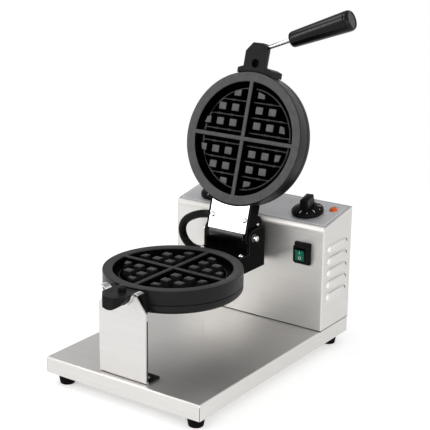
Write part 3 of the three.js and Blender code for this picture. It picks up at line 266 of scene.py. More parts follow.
def block(half_x, half_y, corner, low, high, edge, middle=(0, 0)):
    """An upright block with round corners and rounded top and bottom edges."""
    steps, least = 3, 0.02
    turns = [math.pi / 2 * i / steps for i in range(steps + 1)]
    inside = [(edge * (1 - math.sin(t)), low + edge * (1 - math.cos(t))) for t in turns]
    levels = inside + [(inset, low + high - z) for inset, z in reversed(inside)]
    return stacked([
        (half_x - inset, half_y - inset, max(corner - inset, least), z) for inset, z in levels
    ], 4, middle)


def tube(path, radius, sides):
    """A round tube along a line of points. The radius may be one number, or one for each point."""
    line = [Vector(point) for point in path]
    radii = radius if isinstance(radius, list) else [radius] * len(line)
    across = Vector((0, 0, 1)) if abs((line[1] - line[0]).normalized().z) < 0.9 else Vector((0, 1, 0))
    angles = [math.tau * k / sides for k in range(sides)]
    rings = []
    for i, point in enumerate(line):
        along = (line[min(i + 1, len(line) - 1)] - line[max(i - 1, 0)]).normalized()
        across = (across - along * across.dot(along)).normalized()
        other = along.cross(across)
        rings.append([point + (across * math.cos(a) + other * math.sin(a)) * radii[i] for a in angles])
    return loft(rings)


def moved(part, where):
    """The same points and faces in another place."""
    points, faces = part
    return [where @ Vector(point) for point in points], faces


# The name under which a mesh keeps each point's height in its part's own frame, which some finishes read.
LEVEL = "local_height"


def piece(name, body, parts, where=None, replaces=(), sharp=38):
    """Makes one mesh from (part, finish) pairs and lets it ride on a body."""
    where = where or Matrix.Identity(4)
    points, faces, marks, finishes, levels = [], [], [], [], []
    for (part_points, part_faces), finish in parts:
        if finish not in finishes:
            finishes.append(finish)
        first = len(points)
        points.extend((where @ Vector(point)) * MM for point in part_points)
        levels.extend(point[2] for point in part_points)
        faces.extend([first + i for i in face] for face in part_faces)
        marks.extend([finishes.index(finish)] * len(part_faces))
    mesh = bpy.data.meshes.new(name)
    mesh.from_pydata(points, [], faces)
    for finish in finishes:
        mesh.materials.append(material(finish))
    mesh.polygons.foreach_set("material_index", marks)
    mesh.attributes.new(LEVEL, "FLOAT", "POINT").data.foreach_set("value", levels)
    shape = bmesh.new()
    shape.from_mesh(mesh)
    bmesh.ops.recalc_face_normals(shape, faces=shape.faces[:])
    shape.to_mesh(mesh)
    shape.free()
    mesh.shade_smooth()
    mesh.set_sharp_from_angle(angle=math.radians(sharp))
    made = bpy.data.objects.new(name, mesh)
    bpy.context.scene.collection.objects.link(made)
    if body:
        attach(made, body)
    if replaces:
        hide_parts(*replaces)
    return made


def dress(finish, *nodes):
    """Gives kept nodes their finish and soft shading, with their meshes as they are."""
    for name in nodes:
        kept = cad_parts[name]
        kept.data.materials.clear()
        kept.data.materials.append(material(finish))
        merge = kept.modifiers.new("Merge corners", "WELD")
        merge.merge_threshold = TOUCHING
        soft = kept.modifiers.new("Soft edges", "NODES")
        soft.node_group = soft_edges()


def soft_edges():
    """Geometry nodes that shade a faceted mesh smooth, with its hard edges kept."""
    if "Soft edges" in bpy.data.node_groups:
        return bpy.data.node_groups["Soft edges"]
    tree = bpy.data.node_groups.new("Soft edges", "GeometryNodeTree")
    tree.interface.new_socket("Geometry", in_out="INPUT", socket_type="NodeSocketGeometry")
    angle = tree.interface.new_socket("Angle", in_out="INPUT", socket_type="NodeSocketFloat")
    angle.default_value = math.radians(35)
    angle.subtype = "ANGLE"
    tree.interface.new_socket("Geometry", in_out="OUTPUT", socket_type="NodeSocketGeometry")
    start = node(tree, "NodeGroupInput")
    bare = node(tree, "GeometryNodeRemoveAttribute", {
        "Geometry": start.outputs["Geometry"], "Name": "custom_normal",
    })
    smooth = node(tree, "GeometryNodeSetShadeSmooth", {
        "Geometry": bare.outputs["Geometry"], "Shade Smooth": True,
    }, domain="FACE")
    edge = node(tree, "GeometryNodeInputMeshEdgeAngle")
    hard = node(tree, "FunctionNodeCompare", {0: edge.outputs["Unsigned Angle"], 1: start.outputs["Angle"]},
                data_type="FLOAT", operation="GREATER_THAN")
    crisp = node(tree, "GeometryNodeSetShadeSmooth", {
        "Geometry": smooth.outputs["Geometry"], "Selection": hard.outputs["Result"], "Shade Smooth": False,
    }, domain="EDGE")
    node(tree, "NodeGroupOutput", {"Geometry": crisp.outputs["Geometry"]})
    return tree


# ---------------------------------------------------------------- shader groups

def node(tree, kind, inputs=None, **settings):
    """Adds a node with its settings, and with its inputs' values or links."""
    made = tree.nodes.new(kind)
    for name, value in settings.items():
        setattr(made, name, value)
    for name, value in (inputs or {}).items():
        if isinstance(value, bpy.types.NodeSocket):
            tree.links.new(value, made.inputs[name])
        else:
            made.inputs[name].default_value = value
    return made


def maths(tree, operation, *values, clamp=False):
    """A math node's result."""
    inputs = dict(enumerate(values))
    return node(tree, "ShaderNodeMath", inputs, operation=operation, use_clamp=clamp).outputs[0]


def vector_maths(tree, operation, inputs):
    """A vector math node."""
    return node(tree, "ShaderNodeVectorMath", inputs, operation=operation)


def remap(tree, value, from_low, from_high, to_low=0.0, to_high=1.0):
    """A value carried from one range to another."""
    return node(tree, "ShaderNodeMapRange", {
        "Value": value, "From Min": from_low, "From Max": from_high, "To Min": to_low, "To Max": to_high,
    }).outputs["Result"]


def between(tree, mask, low, high):
    """A number that a mask carries from low to high."""
    return remap(tree, mask, 0.0, 1.0, low, high)


def summed(tree, first, second, share):
    """The first value's share and the rest of the second, added."""
    parts = maths(tree, "MULTIPLY", first, share), maths(tree, "MULTIPLY", second, 1 - share)
    return maths(tree, "ADD", *parts)


def blended(tree, factor, first, second):
    """A colour between two others."""
    mix = node(tree, "ShaderNodeMix", {0: factor, 6: first, 7: second}, data_type="RGBA")
    return mix.outputs[2]


def own_place(tree):
    """The piece's own coordinates, on which its patterns are laid."""
    return node(tree, "ShaderNodeTexCoord").outputs["Object"]


def facing(tree):
    """The way the surface faces."""
    return node(tree, "ShaderNodeNewGeometry").outputs["Normal"]


def noise(tree, place, scale, detail, roughness=0.5, distortion=0.0):
    """A noise pattern's value."""
    return node(tree, "ShaderNodeTexNoise", {
        "Vector": place, "Scale": scale, "Detail": detail, "Roughness": roughness, "Distortion": distortion,
    }).outputs["Fac"]


def group(name, inputs, outputs):
    """A new shader group with its sockets, and what its input node gives."""
    tree = bpy.data.node_groups.new(name, "ShaderNodeTree")
    for label, default in inputs:
        socket = tree.interface.new_socket(label, in_out="INPUT", socket_type="NodeSocketFloat")
        socket.default_value = default
    for label in outputs:
        tree.interface.new_socket(label, in_out="OUTPUT", socket_type="NodeSocketFloat")
    return tree, node(tree, "NodeGroupInput").outputs


def brushed_grain():
    """Long fine scratches: along X on faces that look forwards or up, and along Y on side faces."""
    tree, given = group("Brushed grain", [("Lines", 1500.0), ("Bands", 60.0)], ["Height", "Tone"])
    squeeze = 0.012
    sideways = maths(tree, "ABSOLUTE", node(tree, "ShaderNodeSeparateXYZ", {0: facing(tree)}).outputs["X"])
    stretch = node(tree, "ShaderNodeMix", {
        0: maths(tree, "GREATER_THAN", sideways, 0.7), 4: (squeeze, 1.0, 1.0), 5: (1.0, squeeze, 1.0),
    }, data_type="VECTOR").outputs[1]
    drawn = vector_maths(tree, "MULTIPLY", {0: own_place(tree), 1: stretch}).outputs[0]
    fine = noise(tree, drawn, given["Lines"], 3.0, 0.65)
    bands = noise(tree, drawn, given["Bands"], 4.0, 0.7)
    tone = remap(tree, summed(tree, fine, bands, 0.75), 0.3, 0.7)
    node(tree, "NodeGroupOutput", {"Height": fine, "Tone": tone})


def smudges():
    """Broad soft patches where hands and cloths have been."""
    tree, given = group("Smudges", [("Scale", 18.0), ("Low", 0.42), ("High", 0.68)], ["Mask"])
    patches = noise(tree, own_place(tree), given["Scale"], 5.0, 0.62, 0.35)
    node(tree, "NodeGroupOutput", {"Mask": remap(tree, patches, given["Low"], given["High"])})


def cast_skin():
    """The fine pebbled skin of a coated casting."""
    tree, given = group("Cast skin", [("Grain", 900.0), ("Mottle", 90.0)], ["Height", "Mottle"])
    place = own_place(tree)
    grain = noise(tree, place, given["Grain"], 4.0, 0.6)
    pits = node(tree, "ShaderNodeTexVoronoi", {"Vector": place, "Scale": given["Grain"]}, feature="SMOOTH_F1")
    mottle = noise(tree, place, given["Mottle"], 5.0, 0.65)
    height = summed(tree, grain, pits.outputs["Distance"], 0.7)
    node(tree, "NodeGroupOutput", {"Height": height, "Mottle": remap(tree, mottle, 0.35, 0.65)})


def edge_wear_and_highlight():
    """Where an edge wears and catches light: high on convex and concave edges, broken up by noise. The
    finishes paint these edges paler, partly as wear and partly as painted highlight.
    """
    tree, given = group("Edge wear and highlight", [("Radius", 0.0006), ("Amount", 1.0), ("Breakup", 260.0)], ["Mask"])
    soft = node(tree, "ShaderNodeBevel", {"Radius": given["Radius"]}, samples=4).outputs["Normal"]
    same = vector_maths(tree, "DOT_PRODUCT", {0: soft, 1: facing(tree)}).outputs["Value"]
    bend = remap(tree, maths(tree, "SUBTRACT", 1.0, same), 0.01, 0.16)
    gaps = noise(tree, own_place(tree), given["Breakup"], 3.0)
    broken = maths(tree, "MULTIPLY", bend, remap(tree, gaps, 0.3, 0.6, 0.35, 1.0))
    node(tree, "NodeGroupOutput", {"Mask": maths(tree, "MULTIPLY", broken, given["Amount"], clamp=True)})


def moulded_skin():
    """The fine satin texture of a moulding, with faint handling marks."""
    tree, given = group("Moulded skin", [("Grain", 1600.0), ("Handling", 40.0)], ["Height", "Handling"])
    place = own_place(tree)
    marks = noise(tree, place, given["Handling"], 5.0, 0.6, 0.5)
    node(tree, "NodeGroupOutput", {
        "Height": noise(tree, place, given["Grain"], 2.0), "Handling": remap(tree, marks, 0.35, 0.65),
    })


SHADER_GROUPS = {
    "Brushed grain": brushed_grain, "Smudges": smudges, "Cast skin": cast_skin, "Edge wear and highlight": edge_wear_and_highlight,
    "Moulded skin": moulded_skin,
}


def effect(tree, name, **values):
    """What a shader group puts out. The group is built the first time it is asked for."""
    if name not in bpy.data.node_groups:
        SHADER_GROUPS[name]()
    made = tree.nodes.new("ShaderNodeGroup")
    made.node_tree = bpy.data.node_groups[name]
    for label, value in values.items():
        made.inputs[label].default_value = value
    return made.outputs


# ---------------------------------------------------------------- finishes

def empty_tree(owner):
    """The cleared node tree of a material or a world."""
    owner.use_nodes = True
    owner.node_tree.nodes.clear()
    return owner.node_tree


def shaded(name, **uniform):
    """A new material's tree and its Principled shader, whose plain values are set on its own sockets."""
    tree = empty_tree(bpy.data.materials.new(name))
    labels = {key: key.replace("_", " ").title().replace("Ior", "IOR") for key in uniform}
    shader = node(tree, "ShaderNodeBsdfPrincipled", {labels[key]: value for key, value in uniform.items()})
    node(tree, "ShaderNodeOutputMaterial", {"Surface": shader.outputs["BSDF"]})
    return tree, shader


def feed(tree, shader, **masks):
    """Links values that change over the surface to the shader."""
    for key, value in masks.items():
        tree.links.new(value, shader.inputs[key.replace("_", " ").title()])


def bumped(tree, height, strength, distance=0.0001):
    """A normal from a height, whose distance is in metres."""
    bump = node(tree, "ShaderNodeBump", {"Height": height, "Strength": strength, "Distance": distance})
    return bump.outputs["Normal"]


def scaled(shade, factor):
    """A colour times a number."""
    return (*(part * factor for part in shade[:3]), 1.0)


def toned(tree, mask, shade, low, high):
    """A shade that a mask carries from one share of itself to another."""
    return blended(tree, mask, scaled(shade, low), scaled(shade, high))


def brushed_metal(name, shade, rough, spread, bump, lines=1500.0):
    """Sheet metal with a drawn grain, faint smudges and paler edges, partly wear and partly painted
    highlight.
    """
    tree, shader = shaded(name, metallic=1.0)
    grain = effect(tree, "Brushed grain", Lines=lines)
    hands = effect(tree, "Smudges")
    wear_and_highlight = effect(tree, "Edge wear and highlight", Radius=0.0008, Amount=0.45)
    drawn = toned(tree, grain["Tone"], shade, 1 - spread, 1 + spread * 0.6)
    patchy = between(tree, hands["Mask"], rough - 0.01, rough + 0.02)
    lined = between(tree, grain["Tone"], -0.03, 0.03)
    # The paler edges are partly wear and partly painted highlight.
    feed(tree, shader, base_color=blended(tree, wear_and_highlight["Mask"], drawn, scaled(shade, 1.22)),
         roughness=maths(tree, "ADD", patchy, lined), normal=bumped(tree, grain["Height"], bump, 0.0002))


def bright_metal(name, shade, rough):
    """Turned or plated steel with faint marks."""
    tree, shader = shaded(name, metallic=1.0)
    hands = effect(tree, "Smudges", Scale=120.0)
    skin = effect(tree, "Moulded skin", Grain=900.0)
    feed(tree, shader, base_color=toned(tree, hands["Mask"], shade, 1, 0.86),
         roughness=between(tree, hands["Mask"], rough, rough + 0.12),
         normal=bumped(tree, skin["Height"], 0.04))


def coated_casting(name, shade, rough, wear, spec=0.18):
    """A dark coating over a casting: pebbled, mottled and a little paler on its edges, partly wear and partly
    painted highlight.
    """
    tree, shader = shaded(name, specular_ior_level=spec)
    skin = effect(tree, "Cast skin", Grain=900.0)
    wear_and_highlight = effect(tree, "Edge wear and highlight", Radius=0.0007, Amount=wear)
    mottled = toned(tree, skin["Mottle"], shade, 0.86, 1.16)
    feed(tree, shader, base_color=blended(tree, wear_and_highlight["Mask"], mottled, scaled(shade, 2.1)),
         roughness=between(tree, skin["Mottle"], rough - 0.04, rough + 0.05),
         normal=bumped(tree, skin["Height"], 0.18, 0.0003))


def plate_coating(name, shade, deep=0.01, spec=0.0, rub=1.7):
    """The grid plates' coating: near black down in the cavity as painted shade, and paler on the rim and the
    tops, partly wear and partly painted highlight.
    """
    tree, shader = shaded(name, specular_ior_level=spec, coat_roughness=0.42)
    level = node(tree, "ShaderNodeAttribute", attribute_name=LEVEL).outputs["Fac"]
    raised = remap(tree, level, -2.0, -1.2)
    skin = effect(tree, "Cast skin", Grain=1000.0)
    wear_and_highlight = effect(tree, "Edge wear and highlight", Radius=0.0007, Amount=0.6)
    mottled = toned(tree, skin["Mottle"], shade, 0.86, 1.14)
    # Painted shade: below the raised parts the colour falls to the small share given as deep, as if the
    # cavity lay in shadow.
    mottled = blended(tree, raised, scaled(shade, deep), mottled)
    # The raised edges are painted paler, partly wear and partly painted highlight.
    rubbed_and_highlit = maths(tree, "MULTIPLY", wear_and_highlight["Mask"], raised)
    feed(tree, shader, base_color=blended(tree, rubbed_and_highlit, mottled, scaled(shade, rub)),
         roughness=between(tree, raised, 0.5, 0.42), coat_weight=between(tree, raised, 0.0, 0.3),
         normal=bumped(tree, skin["Height"], 0.16, 0.0003))


def moulding(name, shade, rough, spec=0.3, bump=0.08, grain=1600.0, wear=0.35, edge=2.2, reach=0.0005):
    """Moulded plastic, rubber or smooth paint, with paler edges, partly wear and partly painted highlight."""
    tree, shader = shaded(name, specular_ior_level=spec)
    skin = effect(tree, "Moulded skin", Grain=grain)
    wear_and_highlight = effect(tree, "Edge wear and highlight", Radius=reach, Amount=wear)
    handled = toned(tree, skin["Handling"], shade, 0.85, 1.2)
    feed(tree, shader, base_color=blended(tree, wear_and_highlight["Mask"], handled, scaled(shade, edge)),
         roughness=between(tree, skin["Handling"], rough - 0.05, rough + 0.06),
         normal=bumped(tree, skin["Height"], bump))


def coloured_lens(name, shade, rough, glow, coat, patches, depth):
    """A moulded lens, deep in colour, with a clear gloss and a faint light of its own."""
    tree, shader = shaded(name, specular_ior_level=0.12, coat_weight=coat, coat_roughness=0.05, ior=1.49,
                          emission_strength=glow)
    skin = effect(tree, "Moulded skin", Grain=700.0, Handling=patches)
    clouded = toned(tree, skin["Handling"], shade, 1 - depth, 1 + depth * 0.4)
    feed(tree, shader, base_color=clouded, emission_color=clouded,
         roughness=between(tree, skin["Handling"], rough, rough + 0.08),
         normal=bumped(tree, skin["Height"], 0.05))


def console_film(name, shade):
    """Printed film: a fine even texture under a thin gloss."""
    tree, shader = shaded(name, metallic=0.55, coat_weight=0.25, coat_roughness=0.18)
    skin = effect(tree, "Moulded skin", Grain=1100.0, Handling=14.0)
    feed(tree, shader, base_color=toned(tree, skin["Handling"], shade, 0.92, 1.07),
         roughness=between(tree, skin["Handling"], 0.36, 0.48), normal=bumped(tree, skin["Height"], 0.06))


def printed(name, shade, rough=0.45):
    """Ink or paint of a printed mark, a little uneven."""
    tree, shader = shaded(name)
    skin = effect(tree, "Moulded skin", Grain=2200.0, Handling=700.0)
    feed(tree, shader, base_color=toned(tree, skin["Handling"], shade, 0.8, 1),
         roughness=between(tree, skin["Handling"], rough, rough + 0.12))


# Each finish by name: how it is made, its colour, the colour's share and the maker's other values.
FINISHES = {
    "sheet_steel": (brushed_metal, "sheet", 1, {"rough": 0.47, "lines": 1300, "spread": 0.08, "bump": 0.06}),
    # The brow strip's steel is a paler copy of the sheet: painted highlight.
    "lip_steel": (brushed_metal, "sheet", 1.3, {"rough": 0.72, "spread": 0.04, "bump": 0.04}),
    "support_steel": (brushed_metal, "support", 1, {
        "rough": 0.42, "lines": 1100, "spread": 0.07, "bump": 0.06,
    }),
    "cover_steel": (brushed_metal, "support", 1.28, {"rough": 0.3, "spread": 0.03, "bump": 0.03}),
    "plated_steel": (bright_metal, "bright", 1, {"rough": 0.16}),
    "dull_steel": (bright_metal, "bright", 0.35, {"rough": 0.4}),
    # The rod's steel is a darker copy of the bright steel: painted dark reflection.
    "rod_steel": (bright_metal, "bright", 0.62, {"rough": 0.12}),
    "grid_coating": (plate_coating, "plate", 1, {}),
    "peg_coating": (plate_coating, "plate", 1.35, {}),
    "rib_coating": (coated_casting, "plate", 1, {"rough": 0.45, "wear": 0.3}),
    # The lower plate's coatings are darker copies of the upper plate's, as painted shade, with paler edges as
    # painted highlight.
    "lower_grid_coating": (plate_coating, "plate", 0.45, {"deep": 0.03, "spec": 0.02, "rub": 3.4}),
    "lower_peg_coating": (plate_coating, "plate", 0.62, {"deep": 0.16, "spec": 0.04, "rub": 2.6}),
    "lower_rib_coating": (coated_casting, "plate", 0.2, {"rough": 0.45, "wear": 0.3}),
    "cover_coating": (coated_casting, "casting", 1, {"rough": 0.33, "wear": 0.6}),
    "lug_coating": (coated_casting, "casting", 1, {"rough": 0.42, "wear": 0.8, "spec": 0.10}),
    # The gloss paint's edges are painted far paler, partly wear and partly painted highlight.
    "gloss_paint": (moulding, "paint", 1, {
        "rough": 0.34, "spec": 0.02, "grain": 700, "wear": 1.0, "edge": 40, "reach": 0.001,
    }),
    "barrel_paint": (moulding, "paint", 1, {"rough": 0.34, "spec": 0.6, "bump": 0.02, "wear": 0.3}),
    "knob_plastic": (moulding, "moulding", 1, {"rough": 0.30, "spec": 0.04, "edge": 3.5}),
    # The flutes are a lighter copy of the knob moulding: painted highlight.
    "flute_plastic": (moulding, "moulding", 11, {"rough": 0.30}),
    "grip_plastic": (moulding, "paint", 1, {"rough": 0.20, "spec": 0.2, "bump": 0.01, "wear": 0.1}),
    "foot_rubber": (moulding, "rubber", 1, {"rough": 0.5, "spec": 0.02}),
    "hose_skin": (moulding, "rubber", 1, {"rough": 0.28, "spec": 0.08, "bump": 0.03, "wear": 0.0}),
    "rocker_lens": (coloured_lens, "green", 1, {
        "rough": 0.26, "glow": 0.10, "coat": 0.03, "patches": 60, "depth": 0.25,
    }),
    "lamp_lens": (coloured_lens, "orange", 1, {
        "rough": 0.10, "glow": 0.16, "coat": 0.4, "patches": 260, "depth": 0.85,
    }),
    "film": (console_film, "film", 1, {}),
    "film_border": (printed, "film", 1.6, {}),
    "film_marks": (printed, "film", 0.35, {}),
    "white_marks": (printed, "marks", 1, {}),
    # This dark finish draws real joints, and also the painted shade of the support's edges and foot and of
    # the louvre notches.
    "dark_seam": (printed, "rubber", 0.8, {"rough": 0.7}),
}


def material(name):
    """A finish by name, made the first time it is asked for."""
    if name not in bpy.data.materials:
        maker, shade, share, values = FINISHES[name]
        maker(name, scaled(tint(shade), share), **values)
    return bpy.data.materials[name]


# ---------------------------------------------------------------- small parts used in several places

def pan_screw(radius, height=None):
    """A pan head with a cross recess, its seat at the origin and its head along +Z."""
    height = height or radius * 0.55
    rows, sides, foot = 12, 40, -0.3
    slot_half, slot_reach, slot_end = radius * 0.11, radius * 0.62, radius * 0.75
    points = []
    for row in range(rows + 1):
        share = row / rows
        for k in range(sides):
            angle = math.tau * k / sides
            x, y = radius * share * math.cos(angle), radius * share * math.sin(angle)
            z = height * (1 - max(0.0, (share - 0.35) / 0.65) ** 3.2)
            near, far = sorted((abs(x), abs(y)))
            if near < slot_half and far < slot_reach:
                z -= height * 0.6 * (1 - far / slot_end)
            points.append((x, y, max(z, 0.0)))
    points.extend([(x, y, foot) for x, y, _ in points[-sides:]])
    faces = []
    for row in range(rows + 1):
        for k in range(sides):
            here, after = row * sides + k, row * sides + (k + 1) % sides
            faces.append((here, here + sides, after + sides, after))
    return points, faces


def screws(places, radius, height, finish, turn=None):
    """Like pan heads at several places, as (part, finish) pairs."""
    turn = turn or Matrix.Identity(4)
    return [(moved(pan_screw(radius, height), shift(*place) @ turn), finish) for place in places]


def hexagon_nut(radius, low, high):
    """A hexagon nut along Z with turned corners."""
    sides = 36
    flat = radius * math.cos(math.pi / 6)
    rings = []
    for height, limit in ((low, 0.93), (low + 0.5, 1.0), (high - 0.6, 1.0), (high, 0.91)):
        ring = []
        for k in range(sides):
            angle = math.tau * k / sides
            edge = flat / math.cos((angle % (math.pi / 3)) - math.pi / 6)
            reach = min(edge, radius * limit)
            ring.append((reach * math.cos(angle), reach * math.sin(angle), height))
        rings.append(ring)
    return loft(rings)


def washer(inner, outer, low, high):
    """A flat ring along Z with eased edges."""
    return turning([
        (inner, low, 0), (outer, low, 0.3), (outer, high, 0.3), (inner, high, 0), (inner, low, 0),
    ], 2, 40)


# ---------------------------------------------------------------- camera and hose

class WAFFLEMAKER_OT_camera(bpy.types.Operator):
    """Sets the camera at the picture's place"""

    bl_idname = "waffle_maker.camera"
    bl_label = "Camera"

    place = (0.986, -1.3823, 0.7501)
    sight = (-0.549, 0.785, -0.287)
    roll = math.radians(0.59)
    focal_length, sensor_width = 97.4, 36.0

    def execute(self, context):
        """Builds the camera from its place, its line of sight and its roll."""
        data = bpy.data.cameras.new("Camera")
        data.sensor_fit = "HORIZONTAL"
        data.sensor_width = self.sensor_width
        data.lens = self.focal_length
        data.clip_end = 100.0
        sight = Vector(self.sight).normalized()
        level = sight.cross(Vector((0, 0, 1))).normalized()
        upright = level.cross(sight)
        right = level * math.cos(self.roll) + upright * math.sin(self.roll)
        up = upright * math.cos(self.roll) - level * math.sin(self.roll)
        turn = Matrix((right, up, -sight)).transposed().to_4x4()
        camera = bpy.data.objects.new("Camera", data)
        camera.matrix_world = Matrix.Translation(self.place) @ turn
        context.scene.collection.objects.link(camera)
        context.scene.camera = camera
        context.scene.view_settings.view_transform = "Standard"
        return {"FINISHED"}


HOSE_START, HOSE_END = (-41.6, 75.0, 217.0), (-50.1, 84.0, 151.4)
HOSE_REACH, HOSE_STRAIGHT = 60.0, 4.0
HOSE_SIDEWAYS = (
    0.152, 0.302, 0.448, 0.588, 0.723, 0.845, 0.94, 0.995, 1, 0.958, 0.868, 0.745, 0.598, 0.447, 0.293,
)
HOSE_DOWNWARD = (
    0.008, 0.034, 0.076, 0.131, 0.197, 0.282, 0.39, 0.52, 0.649, 0.784, 0.896, 0.977, 1.015, 1.018, 1.006,
)


def hose_knots():
    """The points that the hose runs through, from the arm to the bracket."""
    start, end = Vector(HOSE_START), Vector(HOSE_END)

    def knot(x, share):
        return Vector((x, *(start + (end - start) * share).yz))

    return [
        start, knot(start.x - HOSE_STRAIGHT, 0),
        *(knot(start.x - HOSE_REACH * out, down) for out, down in zip(HOSE_SIDEWAYS, HOSE_DOWNWARD)),
        knot(end.x - HOSE_STRAIGHT, 1), end,
    ]


def through(knots, steps):
    """A smooth line through knots, with even speed between them."""
    ends = [knots[0] * 2 - knots[1], *knots, knots[-1] * 2 - knots[-2]]
    line = []
    for a, b, c, d in zip(ends, ends[1:], ends[2:], ends[3:]):
        t0, t1 = 0.0, math.sqrt((b - a).length)
        t2 = t1 + math.sqrt((c - b).length)
        t3 = t2 + math.sqrt((d - c).length)
        for k in range(steps):
            t = t1 + (t2 - t1) * k / steps
            ab = (a * (t1 - t) + b * (t - t0)) / (t1 - t0)
            bc = (b * (t2 - t) + c * (t - t1)) / (t2 - t1)
            cd = (c * (t3 - t) + d * (t - t2)) / (t3 - t2)
            abc = (ab * (t2 - t) + bc * (t - t0)) / (t2 - t0)
            bcd = (bc * (t3 - t) + cd * (t - t1)) / (t3 - t1)
            line.append((abc * (t2 - t) + bcd * (t - t1)) / (t2 - t1))
    return [*line, knots[-1]]


class WAFFLEMAKER_OT_hose(bpy.types.Operator):
    """Makes the cable hose between the arm and the bracket, and its two glands"""

    bl_idname = "waffle_maker.hose"
    bl_label = "Cable hose"

    glands = (
        ("upper_hose_gland", "lid", HOSE_START, 7.6, 2.5), ("lower_hose_gland", "rotor", HOSE_END, 8.5, 6.0),
    )

    def execute(self, context):
        """Sweeps the hose along its line and turns a collar for each gland."""
        radius = sizes()["hose_radius"]
        line = through(hose_knots(), 4)
        hose = piece("cable_hose_rubber", None, [(tube(line, radius, 28), "hose_skin")],
                     replaces=["cable_hose"])
        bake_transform(hose)
        bore, neck, front = 4.1, 6.5, -0.3
        for gland, body, start, outer, long in self.glands:
            back = -long - 0.3
            collar = turning([
                (bore, front, 0), (outer - 0.4, front, 0.4), (outer, -0.9, 0.3), (outer, -long + 0.2, 0.4),
                (outer - 0.6, back, 0.3), (neck, back, 0), (neck, -long - 2.2, 0.2), (bore, -long - 2.2, 0),
                (bore, front, 0),
            ], 3, 40)
            place = shift(*start) @ looking((-1, 0, 0))
            piece(f"{gland}_collar", body, [(collar, "knob_plastic")], place, [gland])
        return {"FINISHED"}


# ---------------------------------------------------------------- sheet metal

class WAFFLEMAKER_OT_base(bpy.types.Operator):
    """Dresses the base tray and makes its feet"""

    bl_idname = "waffle_maker.base"
    bl_label = "Base and feet"

    corners = (("front_left", -1, -1), ("front_right", 1, -1), ("rear_left", -1, 1), ("rear_right", 1, 1))

    def execute(self, context):
        """Dresses the tray, draws its corner seams and turns the four feet."""
        dress("sheet_steel", "base_tray")
        tray_x, tray_y = TRAY_CORNER
        seams = [
            (tube([(x * tray_x, y * tray_y, 20.0 + 20.4 * k / 4) for k in range(5)], 0.45, 10), "dark_seam")
            for x, y in product(MIRRORED, MIRRORED)
        ]
        piece("tray_corner_seams", "base", seams)
        foot = turning([
            (0, 3, 0), (5, 3, 0.4), (5, 0, 0.6), (10.6, 0, 0.8), (11.2, 1.4, 0.6), (13.9, 18.2, 0.5),
            (13.2, 19.2, 0.4), (3, 19.2, 0), (3, 28.2, 0.5), (0, 28.2, 0),
        ], 3, 56)
        head = moved(pan_screw(3.6, 1.6), shift(0, 0, 2.9) @ turned(180, "X"))
        foot_x, foot_y = FOOT_PLACE
        parts = [(foot, "foot_rubber"), (head, "dull_steel")]
        for name, x, y in self.corners:
            piece(f"foot_{name}_rubber", "base", parts, shift(x * foot_x, y * foot_y, 0),
                  [f"foot_{name}"])
        return {"FINISHED"}


class WAFFLEMAKER_OT_housing(bpy.types.Operator):
    """Dresses the control housing, its rear panel and the mains gland"""

    bl_idname = "waffle_maker.housing"
    bl_label = "Control housing"

    seam_half_x, seam_half_y, seam_half = 142.15, 43.6, 0.5
    screw_columns, screw_rows = (-132, 132), (56, 136, 216)
    brow_half = 140.6
    louvre_count, louvre_pitch, top_sill = 5, 20, 174.75
    brow_profile = (
        (123.7, 216.4), (121.5, 215.85), (119.85, 213.95), (119.6, 211.2), (119.62, 207.4), (121.0, 213.0),
    )
    lip_line = (
        (132.6, 142.6), (134.0, 144.6), (136.5, 146.2), (140, 146.7), (184, 146.7), (187.5, 146.2),
        (190.2, 144.6), (191.6, 142.6),
    )
    notch_line = ((142.6, 189.2, 9.4), (143.4, 190.6, 7.2), (143.6, 191.3, 4.0), (143.2, 191.7, 1.0))

    def execute(self, context):
        """Dresses the sheet and makes its foot seams, rear screws, brow and louvre edges, with painted
        highlight on the brow and the lips and painted shade at the notches.
        """
        dress("sheet_steel", "control_housing", "rear_panel")
        dress("knob_plastic", "mains_gland")
        # The bearing is painted black so that it reads as the shade beside the bracket: painted shade.
        dress("gloss_paint", "rotor_bearing")
        wide, deep, thin = self.seam_half_x, self.seam_half_y, self.seam_half
        strips = [(wide, thin, 0, HOUSING_FRONT + 0.1)]
        strips += [(thin, deep, x, HOUSING_MIDDLE) for x in (HOUSING_SIDE, -HOUSING_SIDE)]
        piece("housing_foot_seam", "base", [
            (block(half_x, half_y, 0.2, TRAY_TOP, TRAY_TOP + 1.05, 0.1, (x, y)), "dark_seam")
            for half_x, half_y, x, y in strips
        ])
        places = [(x, HOUSING_BACK, z) for x in self.screw_columns for z in self.screw_rows]
        piece("rear_panel_screws", "base",
              screws(places, 3.2, None, "plated_steel", looking((0, 1, 0))))
        # The brow strip is painted paler than the sheet, as painted highlight along the fold.
        brow = loft([[(side * self.brow_half, y, z) for y, z in self.brow_profile] for side in MIRRORED])
        piece("housing_brow_lip", "base", [(brow, "lip_steel")], sharp=100)
        trim = []
        for side, k in product(MIRRORED, range(self.louvre_count)):
            sill = self.top_sill - self.louvre_pitch * k
            lip = [(side * out, y, sill - 0.1) for y, out in self.lip_line]
            notch = [(side * out, y, sill + rise) for out, y, rise in self.notch_line]
            # Each lip is in a paler steel than the housing: painted highlight along the lip.
            trim.append((tube(lip, 0.35, 10), "cover_steel"))
            # Each notch is a dark strip: painted shade at the louvre's rear end.
            trim.append((tube(notch, [0.2, 0.7, 0.8, 0.3], 8), "dark_seam"))
        piece("louvre_edges", "base", trim)
        return {"FINISHED"}


